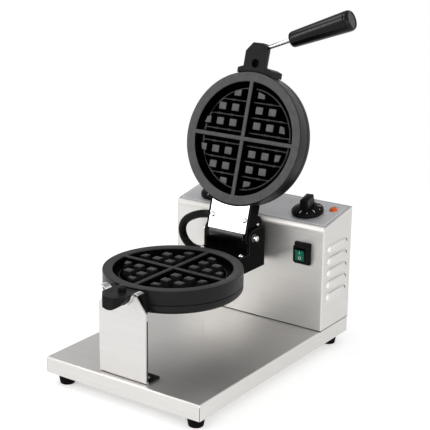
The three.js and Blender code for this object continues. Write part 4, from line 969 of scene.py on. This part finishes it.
class WAFFLEMAKER_OT_support(bpy.types.Operator):
    """Dresses the front support and the cradle liner in it"""

    bl_idname = "waffle_maker.support"
    bl_label = "Front support"

    def execute(self, context):
        """Dresses both sheets and makes the foot's pad, its screws and the dark edges, which are painted
        shade; the dark line along the foot is a joint with painted shadow.
        """
        dress("support_steel", "front_support")
        dress("plated_steel", "cradle_liner")
        half = 42.6
        # The dark line along the foot is the joint to the tray, darkened as painted shadow.
        foot = block(half, 0.6, 0.2, 44.22, 46.2, 0.1, (0, -196.9))
        pad = block(half + 0.05, 13.4, 1.0, 44.3, 47.12, 0.2, (0, -180.9))
        # The dark edges stand for the side flanges in shade: painted shade.
        edges = [(block(0.12, 1.1, 0.05, 49, 140, 0.02, (x, -195.7)), "dark_seam") for x in (-half, half)]
        heads = screws([(x, -181.5, 47.1) for x in (-31.5, 31.5)], 3.4, 1.7, "dull_steel")
        piece("support_foot_screws", "base",
              [*heads, (foot, "dark_seam"), (pad, "gloss_paint"), *edges])
        return {"FINISHED"}


# ---------------------------------------------------------------- console

def around(radius, angle):
    """A point of a circle at an angle in degrees."""
    return radius * math.cos(math.radians(angle)), radius * math.sin(math.radians(angle))


def dial_marks(radius_in, radius_out, height_in, height_out, angles, width):
    """Flat radial ticks on a cone, each a thin raised bar."""
    sunk, proud = -0.25, 0.14
    parts = []
    for angle in angles:
        aside_x, aside_y = around(width / 2, angle + 90)
        corners = []
        for radius, height, side in (
            (radius_in, height_in, -1), (radius_out, height_out, -1), (radius_out, height_out, 1),
            (radius_in, height_in, 1),
        ):
            x, y = around(radius, angle)
            corners.append((x + side * aside_x, y + side * aside_y, height))
        parts.append(loft([[(x, y, z + lift) for x, y, z in corners] for lift in (sunk, proud)]))
    return parts


class WAFFLEMAKER_OT_console(bpy.types.Operator):
    """Makes the console's film marks and pilot lamp"""

    bl_idname = "waffle_maker.console"
    bl_label = "Console"

    film_half_x, film_half_y, film_middle = 139.3, 39.0, (0, 44.2)
    bars = (
        (64, 66, 3.2), (64, 63.8, 2.2), (44, 62, 2.6), (LAMP_X, 74.2, 4.2), (-62, 66, 3.2), (-62, 63.8, 2.2),
    )

    def frame_line(self, inset, width):
        """A flat line just inside the film's edge."""
        x, y = self.film_half_x - inset, self.film_half_y - inset
        low, high = OVERLAY_TOP - 0.1, OVERLAY_TOP + 0.06
        return stacked([
            (x, y, 2.4, low), (x, y, 2.4, high),
            (x - width, y - width, 1.9, high), (x - width, y - width, 1.9, low),
        ], 5, self.film_middle, caps=False)

    def execute(self, context):
        """Dresses the film, prints its border and ticks, and makes the faceted lamp."""
        dress("film", "console_overlay")
        dress("knob_plastic", "timer_body", "thermostat_body")
        top = OVERLAY_TOP
        marks = [(self.frame_line(0.0, 0.6), "dark_seam"), (self.frame_line(1.5, 1.0), "film_border")]
        for x in (-KNOB_X, KNOB_X):
            for tick in dial_marks(28.6, 31.6, top - 0.06, top - 0.06, range(-60, 241, 30), 0.7):
                marks.append((moved(tick, shift(x, KNOB_Y, 0)), "film_marks"))
        for x, y, half in self.bars:
            marks.append((block(half, 0.5, 0.2, top - 0.1, top + 0.08, 0.03, (x, y)), "film_marks"))
        piece("console_marks", "base", marks, CONSOLE)
        radius = sizes()["lamp_radius"]
        rim = turning([
            (radius - 1.4, top, 0), (radius, top + 0.1, 0.2), (radius, top + 1.1, 0.5),
            (radius - 1.3, top + 1.7, 0.3), (radius - 1.5, top + 0.4, 0),
        ], 3, 48)
        lens = lathe([
            (0, top - 14), (5, top - 14), (5, top + 0.3), (radius - 0.9, top + 0.6),
            (radius - 1.0, top + 2.2), (radius - 2.4, top + 3.6), (radius - 5.0, top + 4.3), (0, top + 4.4),
        ], 9)
        piece("pilot_lamp_lens", "base", [(lens, "lamp_lens"), (rim, "lamp_lens")],
              CONSOLE @ shift(LAMP_X, LAMP_Y, 0), ["pilot_lamp"], sharp=14)
        return {"FINISHED"}


class WAFFLEMAKER_OT_knobs(bpy.types.Operator):
    """Makes the two knobs"""

    bl_idname = "waffle_maker.knobs"
    bl_label = "Knobs"

    grip_sides = (
        (0.25, 6.9, 15.8), (0.33, 6.8, 15.6), (0.5, 6.6, 15.0), (0.75, 6.4, 14.3), (0.95, 6.2, 13.8),
    )
    grip_top = (6.2, 13.8)
    grip_easing = ((0.2, 0.6), (0.5, 0.2), (1.0, 0.0))
    ticks, dots = range(-94, 170, 66), range(-61, 170, 66)

    def execute(self, context):
        """Turns the skirt, lofts the grip and prints the dial."""
        size = sizes()
        radius, height = size["knob_radius"], size["knob_height"]
        low = OVERLAY_TOP + 0.6
        skirt = turning([
            (0, low + 2, 0), (21, low + 2, 0.3), (21, low, 0.3), (radius - 0.4, low, 0.3),
            (radius, low + 0.7, 0.4), (radius, low + 4.9, 1.0), (radius - 1.5, low + 6.9, 1.6),
            (14.6, low + 9.5, 1.2), (0, low + 9.9, 0),
        ], 4, 96)
        turn = turned(7, "Z")
        levels = [(x, y, 1.1, low + height * share) for share, x, y in self.grip_sides]
        x, y = self.grip_top
        levels += [(x - inset, y - inset, 1.0, low + height - drop) for inset, drop in self.grip_easing]
        parts = [(skirt, "knob_plastic"), (moved(stacked(levels, 4), turn), "knob_plastic")]
        flutes = 5
        for side, k in product(MIRRORED, range(flutes)):
            across = (k - flutes // 2) * 4.7
            line = [(side * (6.55 - 0.06 * j), across, low + height * (0.44 + 0.12 * j)) for j in range(5)]
            # Each flute is painted lighter than the knob, as painted highlight.
            parts.append((moved(tube(line, [0.3, 0.8, 1.0, 1.1, 0.8], 8), turn), "flute_plastic"))
        for tick in dial_marks(16.2, 22.2, low + 9.1, low + 7.5, self.ticks, 1.0):
            parts.append((tick, "white_marks"))
        dot = lathe([(0, low + 6.6), (0.8, low + 6.6), (0.8, low + 7.95), (0, low + 8.05)], 16)
        for angle in self.dots:
            parts.append((moved(dot, shift(*around(21.3, angle), 0)), "white_marks"))
        for name, x in (("timer", -KNOB_X), ("thermostat", KNOB_X)):
            piece(f"{name}_knob_moulding", f"{name}_knob", parts,
                  CONSOLE @ shift(x, KNOB_Y, 0), [f"{name}_knob"])
            dress("plated_steel", f"{name}_shaft")
        return {"FINISHED"}


class WAFFLEMAKER_OT_rocker(bpy.types.Operator):
    """Makes the rocker switch with its bezel"""

    bl_idname = "waffle_maker.rocker"
    bl_label = "Rocker switch"

    half_x, half_z = 14.4, 17.9
    well_x, well_z = 8.75, 9.9
    aside = -1.0
    key_half, key_face, key_dish = 8.7, -10.6, 1.0

    def bezel(self):
        """The two-stage bezel, the floor of its well and the body behind it."""
        half_x, half_z, well_x, well_z = self.half_x, self.half_z, self.well_x, self.well_z
        levels = [
            (half_x, half_z, 1.6, 0.3), (half_x, half_z, 1.8, 3.6), (half_x - 0.3, half_z - 0.3, 1.8, 4.3),
            (half_x - 1.0, half_z - 1.0, 1.8, 4.7), (half_x - 1.6, half_z - 3.2, 1.8, 4.8),
            (half_x - 1.7, half_z - 3.9, 1.8, 5.3), (half_x - 1.8, half_z - 4.3, 1.8, 10.3),
            (half_x - 2.1, half_z - 4.6, 1.7, 11.1), (half_x - 2.8, half_z - 5.3, 1.5, 11.5),
            (well_x + 1.0, well_z + 1.0, 1.0, 11.4), (well_x + 0.4, well_z + 0.4, 0.8, 11.0),
            (well_x, well_z, 0.6, 9.8), (well_x, well_z, 0.5, -7.0),
        ]
        middle = (self.aside, 0)
        shell = stacked(levels, 5, middle, caps=False)
        floor = stacked([(well_x, well_z, 0.5, out) for out in (-7.4, -7.0)], 3, middle)
        body = block(half_x - 4, half_z - 3, 1.0, -25.5, 0.3, 0.4)
        return [(part, "knob_plastic") for part in (shell, floor, body)]

    def key(self):
        """The dished key, its lens and the two signs on it."""
        half, aside, steps = self.key_half, self.aside, 10
        front = [
            (self.key_face + self.key_dish * (1 - (z / half) ** 2), z)
            for z in (half - half * 2 * k / steps for k in range(steps + 1))
        ]
        outline = [*front, (-6.0, -8.5), (1.0, -7.6), (6.0, -5.0), (6.0, 5.0), (1.0, 7.6), (-6.0, 8.5)]
        rings = []
        for x, inset in ((-8.45, 0.5), (-8.2, 0.16), (-7.8, 0.0), (7.8, 0.0), (8.2, 0.16), (8.45, 0.5)):
            scale = 1 - inset / half
            rings.append([(x + aside, y * scale, z * scale) for y, z in outline])
        row = steps + 1
        lens = ([(x + aside, y - 0.12, z) for x in (-7.9, 7.9) for y, z in front],
                [(k, k + 1, k + 1 + row, k + row) for k in range(steps)])
        slope = math.degrees(math.atan2(self.key_dish, half))
        on_place = shift(aside, -9.96, 4.3) @ turned(90 + slope, "X")
        off_place = shift(aside, -9.96, -4.6) @ turned(90 - slope, "X")
        bar = block(0.42, 2.1, 0.2, -0.1, 0.2, 0.04)
        ring = lathe([(1.85, -0.1), (2.45, -0.1), (2.45, 0.2), (1.85, 0.2), (1.85, -0.1)], 32)
        return [(loft(rings), "knob_plastic"), (lens, "rocker_lens"), (moved(bar, on_place), "white_marks"),
                (moved(ring, off_place), "white_marks")]

    def execute(self, context):
        """Makes the bezel on the housing and the key that tilts in it."""
        piece("rocker_bezel_moulding", "base", self.bezel(), ROCKER_FACE @ turned(90, "X"),
              ["rocker_bezel"])
        piece("rocker_key_lens", "rocker", self.key(), ROCKER, ["rocker_key"])
        return {"FINISHED"}


# ---------------------------------------------------------------- plates

RIM = -0.3
PEG_START, PEG_FIELD = 22.3, 77.0
RIB_FIELD = 80.2
ROUND = 128


def peg(centre, half_x, half_y, floor, top, field):
    """A tapered peg with a fillet at its foot and a rounded top, cut off by the field's edge."""
    rings = []
    for grow, height in (
        (3.3, floor - 0.3), (2.7, floor + 0.4), (2.1, floor + 1.6), (1.5, floor + 3.6), (0.75, floor + 7.0),
        (0.15, top - 1.3), (-0.1, top - 0.6), (-0.5, top - 0.18), (-1.1, top),
    ):
        corner = 1.7 if height < top - 1 else 1.3
        ring = []
        for offset in rectangle(half_x + grow, half_y + grow, corner, 3):
            point = Vector((centre[0] + offset[0], centre[1] + offset[1]))
            if point.length > field + grow:
                point = point.normalized() * (field + grow)
            ring.append((point.x, point.y, height))
        rings.append(ring)
    last = rings[-1]
    mid_x, mid_y = Vector([sum(point[axis] for point in last) / len(last) for axis in (0, 1)])
    crown = [(mid_x + (x - mid_x) * 0.5, mid_y + (y - mid_y) * 0.5, top + 0.12) for x, y, _ in last]
    return loft([*rings, crown])


def ridge(start, end, half, floor, top):
    """A fine rib with sloping sides and a rounded back along a straight line."""
    a, b = Vector(start), Vector(end)
    along = (b - a).normalized()
    across = Vector((-along.y, along.x))
    rise = [(-half * 1.7, floor - 0.2), (-half, floor + 0.5), (-half * 0.75, top - 0.3), (-half * 0.35, top)]
    section = rise + [(-side, height) for side, height in reversed(rise)]
    return loft([[(*(point + across * side), height) for side, height in section] for point in (a, b)])


def nodule(x, y, floor, top):
    """A small diamond-shaped bump where two ribs cross."""
    radius = 1.9
    profile = [(radius * 1.5, floor - 0.2), (radius, floor + 0.6), (radius * 0.55, top - 0.1), (0, top)]
    return moved(lathe(profile, 8), shift(x, y, 0))


def plate_shell(size):
    """The dished face and the outside of a plate."""
    outer, cavity, floor, back = size["plate_radius"], size["cavity_radius"], -size["cavity_depth"], -22
    dish = turning([
        (0, floor, 0), (cavity - 1.7, floor, 2.2), (cavity - 0.1, RIM - 1.0, 0.4), (cavity + 0.7, RIM, 0.6),
        (outer - 0.9, RIM, 0),
    ], 4, ROUND)
    skirt = turning([
        (outer - 0.9, RIM, 0), (outer - 0.2, RIM - 0.2, 0.2), (outer, RIM - 0.9, 0.3),
        (outer, back + 0.6, 0.3), (outer - 0.5, back, 0.3), (98, back, 0), (98, -17.5, 0), (0, -17.5, 0),
    ], 4, ROUND)
    return [(dish, "grid_coating"), (skirt, "cover_coating")]


def plate_dividers(size):
    """The cross that divides the waffle."""
    floor, half = -size["cavity_depth"], size["divider_width"] / 2
    reach = math.sqrt(size["cavity_radius"] ** 2 - half ** 2) + 0.6
    section = eased([
        (-half - 2.6, floor - 0.2, 0), (-half - 1.2, floor + 1.0, 0.8), (-half, RIM - 0.9, 0.5),
        (-half + 0.9, RIM, 0.6), (half - 0.9, RIM, 0.6), (half, RIM - 0.9, 0.5),
        (half + 1.2, floor + 1.0, 0.8), (half + 2.6, floor - 0.2, 0),
    ], 3)
    bars = []
    for quarter, drop in ((0, 0.0), (90, 0.015)):
        bar = loft([[(end * reach, a, b - drop) for a, b in section] for end in MIRRORED])
        bars.append((moved(bar, turned(quarter, "Z")), "grid_coating"))
    return bars


def plate_pegs(size):
    """The tall pegs of the four quarters, and the low ones that the field's edge nearly takes away."""
    pitch, floor = size["peg_pitch"], -size["cavity_depth"]
    half_x, half_y = size["peg_width"] / 2, size["peg_length"] / 2
    tall, low = (RIM - 0.8, PEG_FIELD, "peg_coating"), (floor + 6.5, PEG_FIELD - 1, "grid_coating")
    places = [(PEG_START + pitch * column, PEG_START + pitch * row, *tall)
              for row in range(3) for column in range(3 - row)]
    places += [(PEG_START + pitch * column - 1.5, PEG_START + pitch * row - 1.5, *low)
               for column, row in ((1, 2), (2, 1))]
    return [
        (peg((sx * x, sy * y), half_x, half_y, floor, top, field), finish)
        for sx, sy in product(MIRRORED, MIRRORED) for x, y, top, field, finish in places
    ]


def plate_ribs(size):
    """The fine ribs between the pegs, the bumps where they cross and the ring round them."""
    floor, half = -size["cavity_depth"], size["rib_width"] / 2
    top = floor + 1.7
    lines = [PEG_START + size["peg_pitch"] * (row - 0.5) for row in range(3)]
    ribs = []
    for side in MIRRORED:
        for row, line in enumerate(lines):
            end = math.sqrt(RIB_FIELD ** 2 - line ** 2)
            ribs.append((ridge((-end, side * line), (end, side * line), half, floor, top), "rib_coating"))
            if row:
                # The upright ribs take the grid coating, so the cavity's painted shade darkens them; the ribs
                # along X keep their own coating.
                upright = ridge((side * line, -end), (side * line, end), half, floor, top - 0.02)
                ribs.append((upright, "grid_coating"))
            for cross in lines[1:]:
                if math.hypot(cross, line) < RIB_FIELD:
                    ribs.append((nodule(cross, side * line, floor, top + 0.9), "rib_coating"))
                    ribs.append((nodule(-cross, side * line, floor, top + 0.9), "rib_coating"))
    ring = turning([
        (RIB_FIELD - 1.6, floor - 0.2, 0), (RIB_FIELD - 0.9, top, 0.5), (RIB_FIELD + 0.3, top, 0.5),
        (RIB_FIELD + 1.0, floor - 0.2, 0),
    ], 3, ROUND)
    return [*ribs, (ring, "rib_coating")]


class WAFFLEMAKER_OT_plates(bpy.types.Operator):
    """Makes the two grid plates and their back covers"""

    bl_idname = "waffle_maker.plates"
    bl_label = "Waffle plates"

    def execute(self, context):
        """Builds the casting once and sets it on the rotor and, face down, on the lid."""
        size = sizes()
        outer, outside = size["plate_radius"], "cover_coating"
        face = [*plate_shell(size), *plate_dividers(size), *plate_pegs(size), *plate_ribs(size)]
        tongue = block(35.4, 19.0, 2.0, -22.0, -14.0, 0.8, (0, 113.0))
        cover = turning([
            (0, -35, 0), (97, -35, 4), (103, -30, 2), (103, -22.7, 0), (outer - 0.5, -22.7, 0.3),
            (outer, -23.3, 0.4), (outer, -29.0, 0.5), (outer - 0.3, -31.5, 2.5), (outer - 4.5, -36.0, 3.0),
            (outer - 10.0, -37.0, 3.0), (62, -37, 0.6), (61, -36.4, 0.4), (0, -36.4, 0),
        ], 4, ROUND)
        places = [(*around(78, 45 + 90 * k), -36.6) for k in range(4)]
        heads = screws(places, size["screw_radius"], 1.6, "dull_steel", turned(180, "X"))
        for name, body, where in (("lower", "rotor", LOWER), ("upper", "lid", UPPER)):
            # The lower plate takes the darker copies of the face's finishes, which are painted shade.
            shaded_copy_prefix = "lower_" if name == "lower" else ""
            parts = [(part, finish if finish == outside else shaded_copy_prefix + finish) for part, finish in face]
            piece(f"{name}_plate_casting", body, [*parts, (tongue, outside)], where,
                  [f"{name}_grid_plate"], sharp=34)
            piece(f"{name}_cover_casting", body, [(cover, outside), *heads], where,
                  [f"{name}_back_cover"])
            dress("dull_steel", f"{name}_element")
            dress("lug_coating", f"{name}_lug")
        return {"FINISHED"}


# ---------------------------------------------------------------- hinge, arm and handle

class WAFFLEMAKER_OT_hinge(bpy.types.Operator):
    """Makes the hinge and dresses the bracket, the arm and the shaft"""

    bl_idname = "waffle_maker.hinge"
    bl_label = "Hinge and arm"

    def execute(self, context):
        """Dresses the painted steel and makes the barrel, bolt, nuts, screws and stud."""
        dress("gloss_paint", "rotor_bracket", "arm_channel", "hinge_spacer")
        dress("cover_steel", "arm_cover_plate")
        dress("plated_steel", "rotor_shaft")
        along = shift(0, HINGE_Y, HINGE_Z) @ looking((1, 0, 0))
        bore = 4.3
        barrel = turning([
            (bore, -35.7, 0), (10.4, -35.7, 0.6), (11.5, -34.4, 0.6), (11.5, 29.6, 0.7), (10.4, 31, 0.7),
            (bore, 31, 0), (bore, -35.7, 0),
        ], 4, 72)
        piece("hinge_barrel_tube", "lid", [(barrel, "barrel_paint")], along, ["hinge_barrel"])
        bolt = turning([
            (0, -50, 0), (3.3, -50, 0.6), (4, -49.2, 0.4), (4, 49.2, 0.4), (3.3, 50, 0.6), (0, 50, 0),
        ], 3, 36)
        piece("hinge_bolt_rod", "rotor", [(bolt, "plated_steel")], along, ["hinge_bolt"])
        dome = lathe([
            (5.0, 47.2), (5.05, 48.4), (4.8, 49.8), (4.1, 51.0), (2.9, 51.9), (1.5, 52.3), (0, 52.4),
        ], 40)
        nut = [(washer(4.2, 6.2, 43.8, 44.6), "dull_steel"), (hexagon_nut(5.6, 44.6, 47.4), "dull_steel"),
               (dome, "plated_steel")]
        for name, place in (("left", along @ turned(180, "X")), ("right", along)):
            piece(f"hinge_nut_{name}_set", "rotor", nut, place, [f"hinge_nut_{name}"],
                  sharp=25)
        shelf = screws([(x, 46.8, 169.8) for x in (-36.5, 36.5)], 4.0, 2.0, "plated_steel")
        piece("bracket_shelf_screws", "rotor", shelf)
        radius = sizes()["screw_radius"]
        heads = []
        for x in (-30, 30):
            seat = LID @ shift(x, -25.2, -13.8) @ turned(180, "X")
            heads.append((moved(pan_screw(radius, 2.1), seat), "plated_steel"))
            heads.append((moved(washer(radius - 0.4, radius + 0.5, -0.1, 0.35), seat), "dark_seam"))
        ear = LID @ shift(38.5, -21.2, 14.0) @ looking((1, 0, 0))
        heads.append((moved(pan_screw(2.6, 1.4), ear), "plated_steel"))
        piece("arm_screws", "lid", heads)
        stud = turning([
            (0, -10.7, 0), (4, -10.7, 0), (4, -1.7, 0), (6, -1.7, 0.2), (6, 4.6, 1.2), (4.2, 6, 1.2),
            (0, 6.2, 0),
        ], 4, 48)
        piece("lug_stud_pin", "rotor", [(stud, "cover_coating")], LOWER @ shift(0, -118.7, 0),
              ["lug_stud"])
        return {"FINISHED"}


class WAFFLEMAKER_OT_handle(bpy.types.Operator):
    """Makes the handle's rod, grip and cap"""

    bl_idname = "waffle_maker.handle"
    bl_label = "Handle"

    def execute(self, context):
        """Turns the three pieces along the handle's line."""
        wide = sizes()["grip_radius"]
        rod = turning([
            (0, -11, 0), (2.6, -11, 0.3), (3, -10.5, 0.3), (3, -0.5, 0), (3.5, -0.5, 0.2), (3.5, 44.4, 0.2),
            (3, 44.4, 0), (3, 74.3, 0.3), (2.6, 74.8, 0.3), (0, 74.8, 0),
        ], 3, 36)
        piece("handle_rod_steel", "lid", [(rod, "rod_steel")], HANDLE, ["handle_rod"])
        grip = turning([
            (3.3, 44.8, 0), (11.0, 44.8, 1.0), (12.4, 46.6, 1.2), (12.8, 50, 1.5), (wide, 141.2, 0.4),
            (wide - 0.5, 141.8, 0.3), (9.3, 141.8, 0), (9.3, 133.5, 0), (0, 133.5, 0), (0, 75.1, 0),
            (3.3, 75.1, 0), (3.3, 44.8, 0),
        ], 4, 96)
        piece("handle_grip_moulding", "lid", [(grip, "grip_plastic")], HANDLE,
              ["handle_grip"])
        cap = turning([
            (0, 134.1, 0), (9, 134.1, 0), (9, 142.1, 0), (wide - 0.5, 142.1, 0.3), (wide, 142.7, 0.4),
            (wide - 0.1, 146.5, 1.6), (wide - 1.9, 150.0, 1.6), (wide - 3.4, 150.6, 0.8),
            (wide - 4.4, 149.9, 0.5), (wide - 5.2, 149.2, 0.5), (0, 149.6, 0),
        ], 5, 96)
        piece("handle_cap_moulding", "lid", [(cap, "grip_plastic")], HANDLE, ["handle_cap"])
        return {"FINISHED"}


# ---------------------------------------------------------------- stage

WHITE = (1, 1, 1, 1)
FLOOR_REACH, FLOOR_CELLS = 9.0, 18

# Where the world's light changes with height, and how bright it is there.
SKY_LEVELS = ((0.0, 1.0), (0.2, 1.0), (0.36, 0.74), (0.62, 0.42), (1.0, 0.6))
BRIGHTEST = 1.15

# Each lamp's place and aim in metres, its width and height, and its power in watts.
LAMPS = {
    "Key lamp": ((-1.4, -1.85, 1.65), (0, 0, 0.2), (0.8, 0.8), 15),
    "Low lamp": ((-1.4, -1.95, 0.75), (0, 0, 0.2), (0.45, 0.8), 5),
    "Front lamp": ((1.15, -2.1, 0.5), (0, 0, 0.2), (0.4, 0.9), 8),
    "Side lamp": ((1.9, -0.7, 0.95), (0.1, 0.1, 0.15), (0.8, 0.8), 6),
    "Top lamp": ((-1.2, -0.25, 2.0), (0, 0.1, 0.2), (1.2, 0.5), 8),
}


def floor_finish():
    """A pale floor that shows white where it is lit and keeps the object's shadow."""
    made = bpy.data.materials.new("floor_paper")
    tree = empty_tree(made)
    place = own_place(tree)
    paper = blended(tree, noise(tree, place, 60.0, 3.0), (0.80, 0.80, 0.80, 1), (0.82, 0.82, 0.82, 1))
    matt = node(tree, "ShaderNodeBsdfDiffuse", {"Color": paper})
    rays = node(tree, "ShaderNodeLightPath").outputs
    seen = maths(tree, "MAXIMUM", rays["Is Camera Ray"], rays["Is Glossy Ray"])
    seen = maths(tree, "MAXIMUM", seen, rays["Is Transmission Ray"])
    away = vector_maths(tree, "LENGTH", {0: place}).outputs["Value"]
    far = maths(tree, "MULTIPLY", remap(tree, away, 0.45, 1.3), seen)
    glow = maths(tree, "MAXIMUM", maths(tree, "MULTIPLY", rays["Is Camera Ray"], 0.36),
                 maths(tree, "MULTIPLY", seen, 0.28))
    lift = node(tree, "ShaderNodeEmission", {"Color": WHITE, "Strength": glow})
    both = node(tree, "ShaderNodeAddShader", {0: matt.outputs[0], 1: lift.outputs[0]})
    white = node(tree, "ShaderNodeEmission", {"Color": WHITE})
    shown = node(tree, "ShaderNodeMixShader", {0: far, 1: both.outputs[0], 2: white.outputs[0]})
    node(tree, "ShaderNodeOutputMaterial", {"Surface": shown.outputs[0]})
    return made


def lay_floor():
    """A flat grid with the floor's finish, marked as the stage."""
    row = FLOOR_CELLS + 1
    steps = [(i / FLOOR_CELLS * 2 - 1) * FLOOR_REACH for i in range(row)]
    points = [(x, y, 0.0) for y in steps for x in steps]
    faces = [(j * row + i, j * row + i + 1, (j + 1) * row + i + 1, (j + 1) * row + i)
             for j in range(FLOOR_CELLS) for i in range(FLOOR_CELLS)]
    mesh = bpy.data.meshes.new("floor")
    mesh.from_pydata(points, [], faces)
    mesh.materials.append(floor_finish())
    floor = bpy.data.objects.new("floor", mesh)
    bpy.context.scene.collection.objects.link(floor)


def shade_world():
    """A studio that the camera sees as white, and that lights the object by height and by side."""
    world = bpy.data.worlds.new("Studio")
    bpy.context.scene.world = world
    tree = empty_tree(world)
    direction = node(tree, "ShaderNodeTexCoord").outputs["Generated"]
    toward = node(tree, "ShaderNodeSeparateXYZ", {0: direction}).outputs
    ramp = node(tree, "ShaderNodeValToRGB", {"Fac": toward["Z"]})
    ramp.color_ramp.interpolation = "EASE"
    ends = len(ramp.color_ramp.elements)
    for index, (place, level) in enumerate(SKY_LEVELS):
        stop = ramp.color_ramp.elements[index] if index < ends else ramp.color_ramp.elements.new(place)
        stop.position = place
        stop.color = (level, level, level, 1)
    seen = node(tree, "ShaderNodeLightPath").outputs["Is Camera Ray"]
    shown = blended(tree, seen, ramp.outputs["Color"], WHITE)
    front = remap(tree, toward["Y"], -0.7, 0.7, 1.0, 0.86)
    right = remap(tree, toward["X"], -0.1, 0.4, 1.0, 2.0)
    share = maths(tree, "MULTIPLY", front, right)
    level = node(tree, "ShaderNodeMix", {0: seen, 2: share, 3: 1.0}, data_type="FLOAT").outputs[0]
    lit = vector_maths(tree, "SCALE", {0: shown, "Scale": level}).outputs[0]
    held = vector_maths(tree, "MINIMUM", {0: lit, 1: (BRIGHTEST, BRIGHTEST, BRIGHTEST)}).outputs[0]
    sky = node(tree, "ShaderNodeBackground", {"Color": held, "Strength": 1.0})
    node(tree, "ShaderNodeOutputWorld", {"Surface": sky.outputs[0]})


def hang_lamp(name, place, aim, size, power):
    """A soft lamp, which the camera doesn't see."""
    data = bpy.data.lights.new(name, "AREA")
    data.shape = "RECTANGLE"
    data.size, data.size_y = size
    data.energy = power
    made = bpy.data.objects.new(name, data)
    made.location = place
    made.visible_camera = False
    made.rotation_euler = (Vector(aim) - Vector(place)).to_track_quat("-Z", "Y").to_euler()
    bpy.context.scene.collection.objects.link(made)


class WAFFLEMAKER_OT_stage(bpy.types.Operator):
    """Makes the floor, the backdrop's light and the lamps"""

    bl_idname = "waffle_maker.stage"
    bl_label = "Stage"

    def execute(self, context):
        """Lays the floor, shades the world and hangs the lamps."""
        lay_floor()
        shade_world()
        for name, values in LAMPS.items():
            hang_lamp(name, *values)
        return {"FINISHED"}


# ---------------------------------------------------------------- panel and registration

OPERATORS = (
    WAFFLEMAKER_OT_camera, WAFFLEMAKER_OT_hose, WAFFLEMAKER_OT_base, WAFFLEMAKER_OT_housing,
    WAFFLEMAKER_OT_support, WAFFLEMAKER_OT_console, WAFFLEMAKER_OT_knobs, WAFFLEMAKER_OT_rocker,
    WAFFLEMAKER_OT_plates, WAFFLEMAKER_OT_hinge, WAFFLEMAKER_OT_handle, WAFFLEMAKER_OT_stage,
)


class WAFFLEMAKER_PT_pieces(bpy.types.Panel):
    """Lists the sizes, the colours and the operators"""

    bl_idname = "WAFFLEMAKER_PT_pieces"
    bl_label = "Waffle maker"
    bl_space_type = "VIEW_3D"
    bl_region_type = "UI"
    bl_category = "Waffle maker"

    def draw(self, context):
        """Draws the properties, then one button for each operator."""
        scene = context.scene
        for values in (scene.waffle_maker_sizes, scene.waffle_maker_colours):
            column = self.layout.column(align=True)
            for name in type(values).__annotations__:
                column.prop(values, name)
        for operator in OPERATORS:
            self.layout.operator(operator.bl_idname)


CLASSES = (WaffleMakerSizes, WaffleMakerColours, *OPERATORS, WAFFLEMAKER_PT_pieces)


def register():
    """Registers the classes and the two groups of properties."""
    for kind in CLASSES:
        bpy.utils.register_class(kind)
    bpy.types.Scene.waffle_maker_sizes = bpy.props.PointerProperty(type=WaffleMakerSizes)
    bpy.types.Scene.waffle_maker_colours = bpy.props.PointerProperty(type=WaffleMakerColours)


def unregister():
    """Takes away what register added."""
    del bpy.types.Scene.waffle_maker_colours
    del bpy.types.Scene.waffle_maker_sizes
    for kind in reversed(CLASSES):
        bpy.utils.unregister_class(kind)


def main():
    """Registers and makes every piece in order."""
    register()
    for operator in OPERATORS:
        getattr(bpy.ops.waffle_maker, operator.bl_idname.split(".")[1])()


if __name__ == "__main__":
    main()
